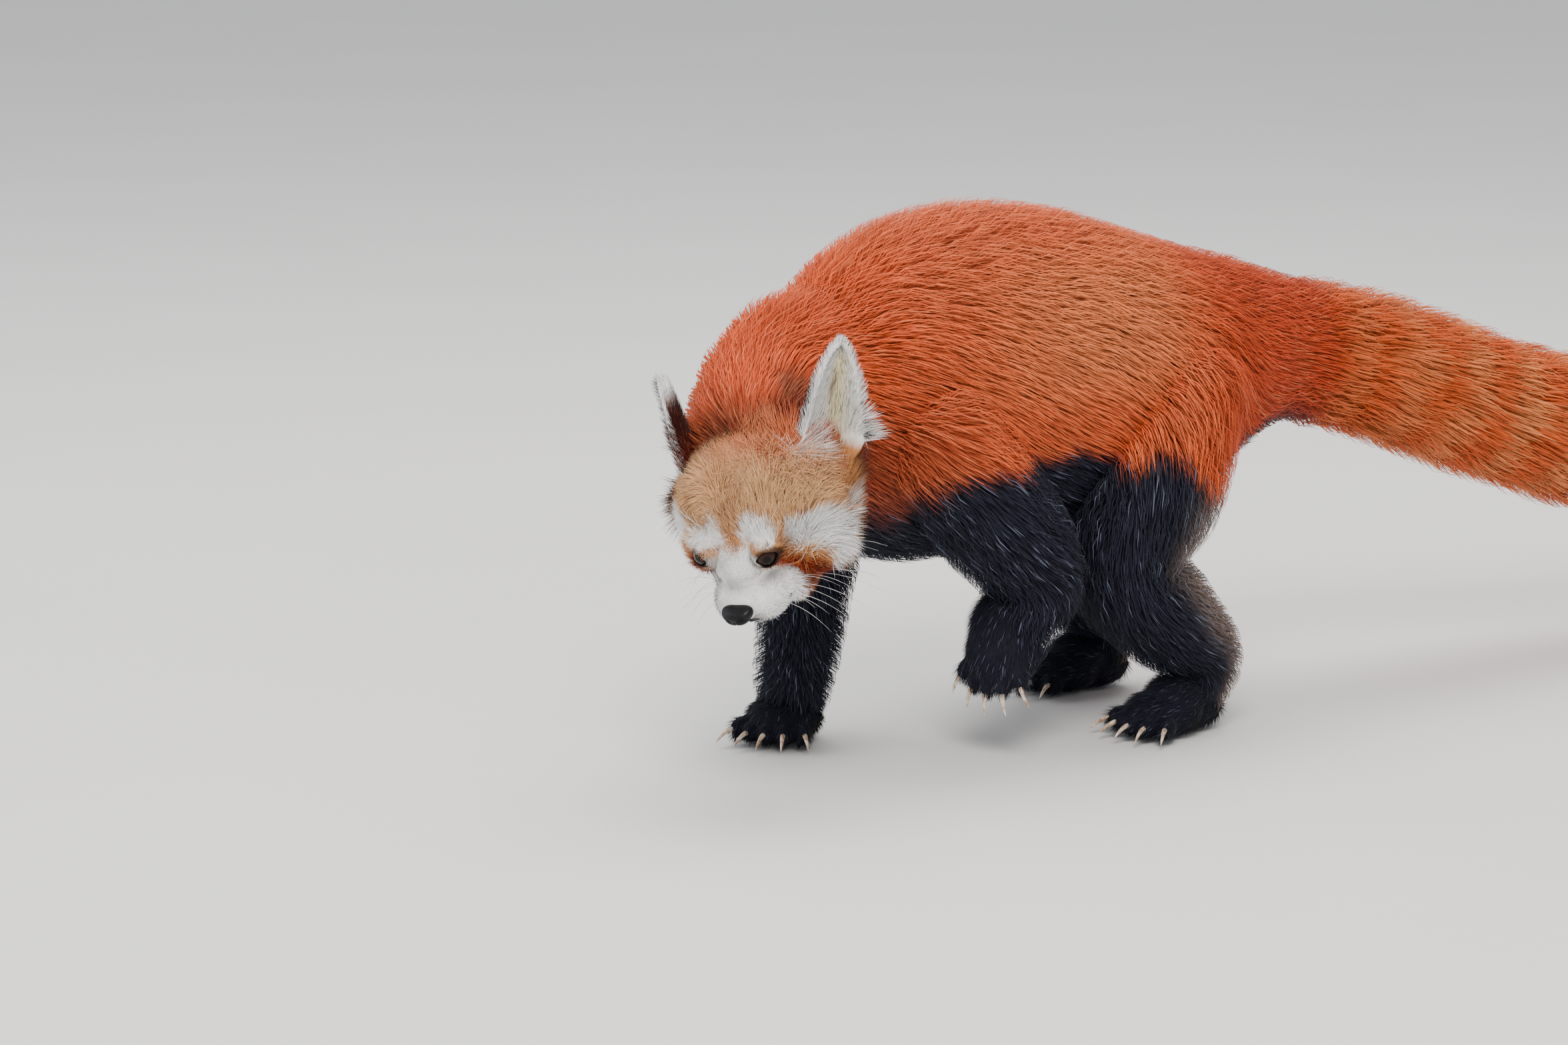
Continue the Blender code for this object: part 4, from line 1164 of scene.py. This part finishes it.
def densityAt(part, points):
    if part == "body":
        return bodyDensity(points)
    if part == "head":
        return headDensity(points)
    if part.endswith("Ear"):
        onCup = seenFrom(earMatrix(part[:-3]), points)[:, 2] >= 0.001
        return np.where(onCup, coatSettings["ear"]["density"], 0)
    return np.full(len(points), coatSettings["paw"]["density"])


def sampleRoots(part, share, chance):
    points, normals, corners, uv = triangleData(skinParts[part])
    triangle = points[corners]
    edges = triangle[:, 1:] - triangle[:, :1]
    area = np.linalg.norm(np.cross(edges[:, 0], edges[:, 1]), axis=1) / 2
    density = densityAt(part, triangle.mean(axis=1)) * share
    weight = np.cumsum(area * density)
    count = int(weight[-1])
    picks = (np.arange(count) + chance.uniform(0, 1, count)) / count * weight[-1]
    chosen = np.minimum(np.searchsorted(weight, picks), len(area) - 1)
    first, second = chance.uniform(0, 1, count), chance.uniform(0, 1, count)
    over = first + second > 1
    first[over], second[over] = 1 - first[over], 1 - second[over]
    shares = np.stack((1 - first - second, first, second), axis=1)[:, :, None]
    return (
        (triangle[chosen] * shares).sum(axis=1),
        unit((normals[corners[chosen]] * shares).sum(axis=1)),
        (uv[chosen] * shares).sum(axis=1),
    )


def clumped(roots, ends, size, pull, chance):
    # neighbouring tips lean together, as hairs do in a real coat
    shifted = roots + 0.3 * size * np.stack([ripple(roots, size * 3, k) for k in (51, 52, 53)], axis=1)
    cells = np.floor(shifted / size).astype(np.int64)
    _, cell = np.unique(cells, axis=0, return_inverse=True)
    cell = cell.reshape(-1)
    members = np.maximum(np.bincount(cell), 1)[:, None]
    middle = np.stack([np.bincount(cell, ends[:, k]) for k in range(3)], axis=1) / members
    shade = chance.uniform(-1, 1, len(members))[cell]
    return ends + (middle[cell] - ends) * pull, shade


def coatGeometry(part, layer, chance):
    share, widthShare, lengthShare, pull = layer
    roots, normals, uv = sampleRoots(part, share, chance)
    style = styleOf(part, roots, normals)
    count = len(roots)
    flow = style["flow"] + tuftSettings["stray"] * chance.normal(size=(count, 3))
    flow += tuftSettings["wave"] * np.stack([ripple(roots, 0.045, k) for k in (61, 62, 63)], axis=1)
    flow -= normals * np.einsum("nk,nk->n", flow, normals)[:, None]
    flow = unit(flow)
    length = style["length"] * lengthShare * chance.uniform(*tuftSettings["lengths"], count)
    rise = np.minimum(style["rise"] * chance.uniform(*tuftSettings["rises"], count), length * 0.8)
    along = np.sqrt(np.maximum(length**2 - rise**2, 1e-10))
    ends = roots + flow * along[:, None] + normals * rise[:, None]
    size = float(np.median(length)) * tuftSettings["clumpCell"]
    ends, shade = clumped(roots, ends, size, pull, chance)
    ends[:, 2] = np.maximum(ends[:, 2], tuftSettings["endOverFloor"])
    width = style["width"] * widthShare * chance.uniform(*tuftSettings["widths"], count)
    return {"roots": roots, "normals": normals, "uv": uv, "ends": ends, "rise": rise, "width": width,
            "root": style["root"], "tip": style["tip"], "shade": shade,
            "black": style.get("black", np.zeros(count)), "onTail": style.get("onTail", np.zeros(count)),
            "lively": style.get("lively", np.full(count, 0.13))}


def takeRows(data, rows):
    return {key: values[rows] for key, values in data.items()}


def bladeRings(data, levels):
    # each tuft is a tapered three-sided blade: rings of three points, then its tip
    shares = {1: (1.0,), 2: (1.0, 0.82), 3: (0.95, 1.0, 0.66)}[len(levels)]
    chord = data["ends"] - data["roots"]
    straight = unit(chord)
    side = unit(np.cross(straight, data["normals"]))
    top = np.cross(side, straight)
    bow = data["rise"] * 0.55
    rings = []
    for t, share in zip(levels, shares):
        lift = bow * math.sin(math.pi * min(1.0, t * 1.1))
        middle = data["roots"] + chord * t + data["normals"] * lift[:, None]
        if t == 0:
            middle = middle - data["normals"] * tuftSettings["sunk"]
        half = (data["width"] * share / 2)[:, None]
        rings += [middle + side * half, middle + top * half * 0.62, middle - side * half]
    points = np.stack([*rings, data["ends"]], axis=1).reshape(-1, 3)
    points[:, 2] = np.maximum(points[:, 2], tuftSettings["overFloor"])
    return points


def bladeFaces(rings, count):
    # the corners of every blade's faces, and where each face starts among them
    faces = []
    for level in range(rings - 1):
        for j in range(3):
            n = (j + 1) % 3
            faces.append((level * 3 + n, level * 3 + j, level * 3 + 3 + j, level * 3 + 3 + n))
    last = rings * 3 - 3
    faces += [(last + (j + 1) % 3, last + j, last + 3) for j in range(3)]
    faces.append((0, 1, 2))
    corners = np.array([corner for face in faces for corner in face])
    corners = (np.arange(count)[:, None] * (rings * 3 + 1) + corners).reshape(-1)
    sizes = np.tile([len(face) for face in faces], count)
    return corners, np.concatenate([[0], np.cumsum(sizes)[:-1]])


def bladeColours(data, levels, chance):
    count = len(data["roots"])
    light = 1 + 0.06 * data["shade"] + data["lively"] * chance.normal(size=count)
    root, tip = (data[end] * np.clip(light, 0.6, 1.5)[:, None] for end in ("root", "tip"))
    # some black tufts get pale bluish tips: painted glints of light on black fur
    glint = (chance.uniform(0, 1, count) < tuftSettings["glintShare"]) & (data["black"] > 0.6)
    tip[glint] = coatColours["paintedGlint"] * 0.8
    pale = (chance.uniform(0, 1, count) < tuftSettings["paleShare"]) & (data["black"] < 0.3)
    pale &= tip.mean(axis=1) < 0.5
    tip[pale] = (tip[pale] + coatColours["backTip"]) / 2
    shades = []
    for t in levels:
        shades += [mixed(root, tip, np.full(count, 0.15 + 0.75 * t))] * 3
    return np.stack([*shades, tip], axis=1).reshape(-1, 3)


def coatPiece(name, data, middles, chance):
    levels = (0.0,) + middles
    points = bladeRings(data, levels)
    corners, starts = bladeFaces(len(levels), len(data["roots"]))
    mesh = bpy.data.meshes.new(name)
    mesh.vertices.add(len(points))
    mesh.vertices.foreach_set("co", points.reshape(-1))
    mesh.loops.add(len(corners))
    mesh.loops.foreach_set("vertex_index", corners)
    mesh.polygons.add(len(starts))
    mesh.polygons.foreach_set("loop_start", starts)
    mesh.update(calc_edges=True)
    mesh.shade_smooth()

    # each blade is lit partly by the form that it grows on, so the coat reads as soft fur
    own = readArray(mesh.vertices, "normal", len(points), 3)
    under = np.repeat(data["normals"], len(levels) * 3 + 1, axis=0)
    mesh.normals_split_custom_set_from_vertices(unit(own * 0.45 + under * 0.75))
    paint(mesh, "coatColour", bladeColours(data, levels, chance))

    half = tuftSettings["patch"] / 2
    patch = [(across * half, 2 * half * t - half) for t in levels for across in (-1, 0, 1)] + [(0, half)]
    uv = (data["uv"][:, None, :] + np.array(patch)[None]).reshape(-1, 2)
    layer = mesh.uv_layers.new(name="OFBake")
    layer.data.foreach_set("uv", uv[corners].reshape(-1))
    return linked(name, mesh)


# Materials

def addSocket(group, name, kind, into, value=None):
    made = group.interface.new_socket(name, in_out="INPUT" if into else "OUTPUT", socket_type=kind)
    if value is not None:
        made.default_value = value


def feed(tree, node, values):
    # constants go straight on the node's sockets, and outputs of other nodes are linked to them
    for name, value in values.items():
        if isinstance(value, bpy.types.NodeSocket):
            tree.links.new(value, node.inputs[name])
        else:
            node.inputs[name].default_value = value


def addNode(tree, kind, values=None, **settings):
    node = tree.nodes.new("ShaderNode" + kind)
    for name, value in settings.items():
        setattr(node, name, value)
    feed(tree, node, values or {})
    return node


def worked(tree, operation, *values):
    return addNode(tree, "Math", dict(enumerate(values)), operation=operation).outputs[0]


def cloudNoise(tree, scale, detail):
    place = addNode(tree, "TexCoord").outputs["Object"]
    return addNode(tree, "TexNoise", {"Vector": place, "Scale": scale, "Detail": detail}).outputs["Fac"]


def toneRamp(tree, share, low, high):
    # low and high are a position on the ramp and its colour
    tones = addNode(tree, "ValToRGB", {"Fac": share})
    for element, (position, shade) in zip(tones.color_ramp.elements, (low, high)):
        element.position = position
        element.color = (*shade, 1)
    return tones.outputs["Color"]


def relief(tree, height, strength, distance):
    bump = addNode(tree, "Bump", {"Height": height, "Strength": strength, "Distance": distance})
    return bump.outputs["Normal"]


def newMaterial(name):
    made = bpy.data.materials.new(name)
    made.use_nodes = True
    return made, made.node_tree, made.node_tree.nodes["Principled BSDF"]


def hairGrainGroup():
    # fine streaks and patches: a shade to multiply a colour by, and a height for a bump
    group = bpy.data.node_groups.new("hairGrain", "ShaderNodeTree")
    addSocket(group, "Fine", "NodeSocketFloat", True, 900.0)
    addSocket(group, "Depth", "NodeSocketFloat", True, 0.3)
    addSocket(group, "Shade", "NodeSocketFloat", False)
    addSocket(group, "Height", "NodeSocketFloat", False)
    into, out = group.nodes.new("NodeGroupInput"), group.nodes.new("NodeGroupOutput")
    fine = cloudNoise(group, into.outputs["Fine"], 3)
    both = worked(group, "ADD", fine, cloudNoise(group, 45, 4))
    less = worked(group, "SUBTRACT", both, 1.0)
    shade = worked(group, "MULTIPLY_ADD", less, into.outputs["Depth"], 1.0)
    feed(group, out, {"Shade": shade, "Height": fine})
    return group


hairGrain = hairGrainGroup()


def hairMaterial(name, fine, depth, roughness, sheen, bump, distance=0.0004):
    made, tree, shader = newMaterial(name)
    colour = addNode(tree, "Attribute", attribute_name="coatColour").outputs["Color"]
    grain = addNode(tree, "Group", {"Fine": fine, "Depth": depth}, node_tree=hairGrain).outputs
    shaded = addNode(tree, "VectorMath", {0: colour, "Scale": grain["Shade"]}, operation="SCALE")
    feed(tree, shader, {
        "Base Color": shaded.outputs[0],
        "Roughness": worked(tree, "MULTIPLY_ADD", grain["Height"], 0.16, roughness),
        "Normal": relief(tree, grain["Height"], bump, distance),
        "Specular IOR Level": 0.12, "Sheen Weight": sheen, "Sheen Roughness": 0.45,
    })
    return made


def leatherMaterial(name, colour, roughness, scale, bump, coat, shine=0.12):
    # fine cobbled leather: pebbles with dark lines between them
    made, tree, shader = newMaterial(name)
    place = addNode(tree, "TexCoord").outputs["Object"]
    pebbles = addNode(tree, "TexVoronoi", {"Vector": place, "Scale": scale}, feature="DISTANCE_TO_EDGE")
    cloud = cloudNoise(tree, scale * 0.25, 4)
    feed(tree, shader, {
        "Base Color": toneRamp(tree, cloud, (0.3, colour * 0.6), (0.75, colour * 1.9)),
        "Roughness": worked(tree, "MULTIPLY_ADD", cloud, 0.25, roughness),
        "Normal": relief(tree, worked(tree, "MINIMUM", pebbles.outputs["Distance"], 0.12), bump, 0.0006),
        "Coat Weight": coat, "Coat Roughness": 0.18, "Specular IOR Level": shine,
    })
    return made


def eyeMaterial():
    made, tree, shader = newMaterial("wetEye")
    feed(tree, shader, {
        "Base Color": addNode(tree, "Attribute", attribute_name="eyeColour").outputs["Color"],
        "Roughness": worked(tree, "MULTIPLY_ADD", cloudNoise(tree, 600, 2), 0.06, 0.05),
        "Coat Weight": 0.06, "Coat Roughness": 0.02, "Specular IOR Level": 0.12,
    })
    return made


def hornMaterial():
    # pale horn mottled with brown by a noise, with a fine bump from the same noise
    made, tree, shader = newMaterial("clawHorn")
    cloud = cloudNoise(tree, 260, 5)
    feed(tree, shader, {
        "Base Color": toneRamp(tree, cloud, (0.35, toLinear(150, 112, 84)), (0.62, toLinear(226, 208, 186))),
        "Roughness": worked(tree, "MULTIPLY_ADD", cloud, 0.2, 0.25),
        "Normal": relief(tree, cloud, 0.3, 0.0003),
        "Coat Weight": 0.3,
    })
    return made


def floorMaterial():
    made, tree, shader = newMaterial("paleFloor")
    tones = toneRamp(tree, cloudNoise(tree, 3, 6), (0, (0.70, 0.69, 0.67)), (1, (0.76, 0.75, 0.73)))
    feed(tree, shader, {"Base Color": tones, "Roughness": 0.8})
    return made


materials = {
    "skin": hairMaterial("skinUnderCoat", 500, 0.35, 0.70, 0.02, 0.5, 0.0008),
    "coat": hairMaterial("coatHair", 1100, 0.22, 0.48, 0.04, 0.25),
    "whisker": leatherMaterial("whiskerHair", toLinear(245, 244, 242) * 0.55, 0.30, 400, 0.1, 0.0),
    "nose": leatherMaterial("noseLeather", toLinear(20, 20, 23) * 0.4, 0.24, 1500, 0.5, 0.08, 0.16),
    "lip": leatherMaterial("lipSkin", toLinear(24, 20, 20), 0.35, 1200, 0.3, 0.3),
    "lid": leatherMaterial("lidSkin", toLinear(20, 14, 13), 0.32, 1400, 0.35, 0.3),
    "eye": eyeMaterial(),
    "claw": hornMaterial(),
}


def finishPiece(obj, material):
    obj.data.transform(toFrame)
    obj.data.materials.clear()
    obj.data.materials.append(materials[material])
    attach(obj, "root")
    return obj


# The coat grows on every part, then the parts take its colours and become one skin

def colourSkin(part, obj):
    points, normals, _, _ = triangleData(obj)
    style = styleOf(part, points, normals)
    paint(obj.data, "coatColour", style["root"] * 0.55 + style["tip"] * 0.35)


def skinKind(part):
    if part in ("body", "head"):
        return part
    return "ear" if part.endswith("Ear") else "paw"


coatChance = np.random.default_rng(2026)
grown = {}
for part in skinParts:
    kind = skinKind(part)
    for layer, values in layerSettings[kind].items():
        data = coatGeometry(part, values, coatChance)
        groups = {kind: np.ones(len(data["roots"]), bool)}
        if kind == "body":
            onTail = data["onTail"] > 0.5
            legs = (~onTail) & (data["black"] > 0.5)
            groups = {"tail": onTail, "leg": legs, "torso": ~onTail & ~legs}
        for name, rows in groups.items():
            grown.setdefault((name, layer), []).append(takeRows(data, rows))
allTriangles = 0
for (kind, layer), groups in grown.items():
    data = {key: np.concatenate([group[key] for group in groups]) for key in groups[0]}
    middles, most = tuftSettings["cuts"]["tail" if kind == "tail" and layer == "bent" else layer]
    total = len(data["roots"])
    allTriangles += total * (4 + 6 * len(middles))  # a blade's tip and foot, then six more for every ring
    pieces = max(1, math.ceil(total / most))
    order = np.argsort(data["roots"][:, 0], kind="stable")
    for k, rows in enumerate(np.array_split(order, pieces)):
        name = f"{kind}Coat{layer.capitalize()}{k + 1}"
        finishPiece(coatPiece(name, takeRows(data, rows), middles, coatChance), "coat")
    print(kind, layer, "coat:", total, "tufts in", pieces, "pieces")
print("coat:", allTriangles, "triangles")

for part, obj in skinParts.items():
    colourSkin(part, obj)
bpy.ops.object.select_all(action="DESELECT")
for obj in skinParts.values():
    obj.select_set(True)
skin = skinParts["body"]
bpy.context.view_layer.objects.active = skin
bpy.ops.object.join()
skin.name = "skin"
skin.data.name = "skin"
skin.data.shade_smooth()
finishPiece(skin, "skin")
fleshNodes = [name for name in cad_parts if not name.startswith(("eye", "nose", "claw"))]
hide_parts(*fleshNodes)
print("skin finished:", len(skin.data.polygons), "faces")

for side, label in ((1, "left"), (-1, "right")):
    eye = finishPiece(eyePiece(label + "Eye", side), "eye")
    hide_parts("eye_" + label)
    lid = finishPiece(lidPiece(label + "Lid", side), "lid")
nose = finishPiece(nosePiece(), "nose")
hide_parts("nose")
lip = finishPiece(lipPiece(), "lip")
whiskers = finishPiece(whiskerPiece(coatChance), "whisker")
claws = finishPiece(clawPiece(), "claw")
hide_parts(*[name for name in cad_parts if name.startswith("claw")])
print("face and claws finished")


# Floor, light and camera

stageSettings = {
    "azimuth": -33, "elevation": 11, "distance": 3.2, "target": (-0.17, 0, 0.159), "pixelsToMetre": 2325,
    "imageWidth": 2352, "sensor": 36, "floorSize": 14,
    "worldLight": 0.84, "worldColour": (0.93, 0.95, 1.0, 1), "lampsAimAt": (-0.1, 0, 0.15),
    "lamps": (  # name, place, size, power, colour
        ("key", (-1.6, -2.2, 2.6), 1.4, 112, (1.0, 0.96, 0.90)),
        ("top", (0.4, 0.6, 2.8), 2.0, 74, (1.0, 0.97, 0.93)),
        ("fill", (-2.4, 1.4, 1.4), 2.0, 28, (0.92, 0.95, 1.0)),
    ),
}


def buildStage():
    bm = bmesh.new()
    bmesh.ops.create_grid(bm, x_segments=2, y_segments=2, size=stageSettings["floorSize"] / 2)
    floor = meshObject("floor", bm)
    floor.data.materials.append(floorMaterial())
    world = bpy.data.worlds.new("studio")
    world.use_nodes = True
    sky = {"Color": stageSettings["worldColour"], "Strength": stageSettings["worldLight"]}
    feed(world.node_tree, world.node_tree.nodes["Background"], sky)
    bpy.context.scene.world = world
    for name, place, size, power, colour in stageSettings["lamps"]:
        light = bpy.data.lights.new(name, "AREA")
        light.size = size
        light.energy = power
        light.color = colour
        lamp = linked(name, light)
        lamp.location = place
        aim = Vector(stageSettings["lampsAimAt"]) - Vector(place)
        lamp.rotation_euler = aim.to_track_quat("-Z", "Y").to_euler()


def buildCamera():
    s = stageSettings
    azimuth, elevation = math.radians(s["azimuth"]), math.radians(s["elevation"])
    level = Vector((math.sin(azimuth), -math.cos(azimuth), 0))
    back = level * math.cos(elevation) + Vector((0, 0, math.sin(elevation)))
    right = Vector((math.cos(azimuth), math.sin(azimuth), 0))
    data = bpy.data.cameras.new("photoCamera")
    data.sensor_fit = "HORIZONTAL"
    data.sensor_width = s["sensor"]
    data.lens = s["sensor"] * s["pixelsToMetre"] * s["distance"] / s["imageWidth"]
    data.clip_end = 60
    camera = linked("photoCamera", data)
    turn = Matrix((right, back.cross(right), back)).transposed().to_4x4()
    camera.matrix_world = toFrame @ Matrix.Translation(Vector(s["target"]) + back * s["distance"]) @ turn
    bpy.context.scene.camera = camera


buildStage()
buildCamera()
print("stage, light and camera set")
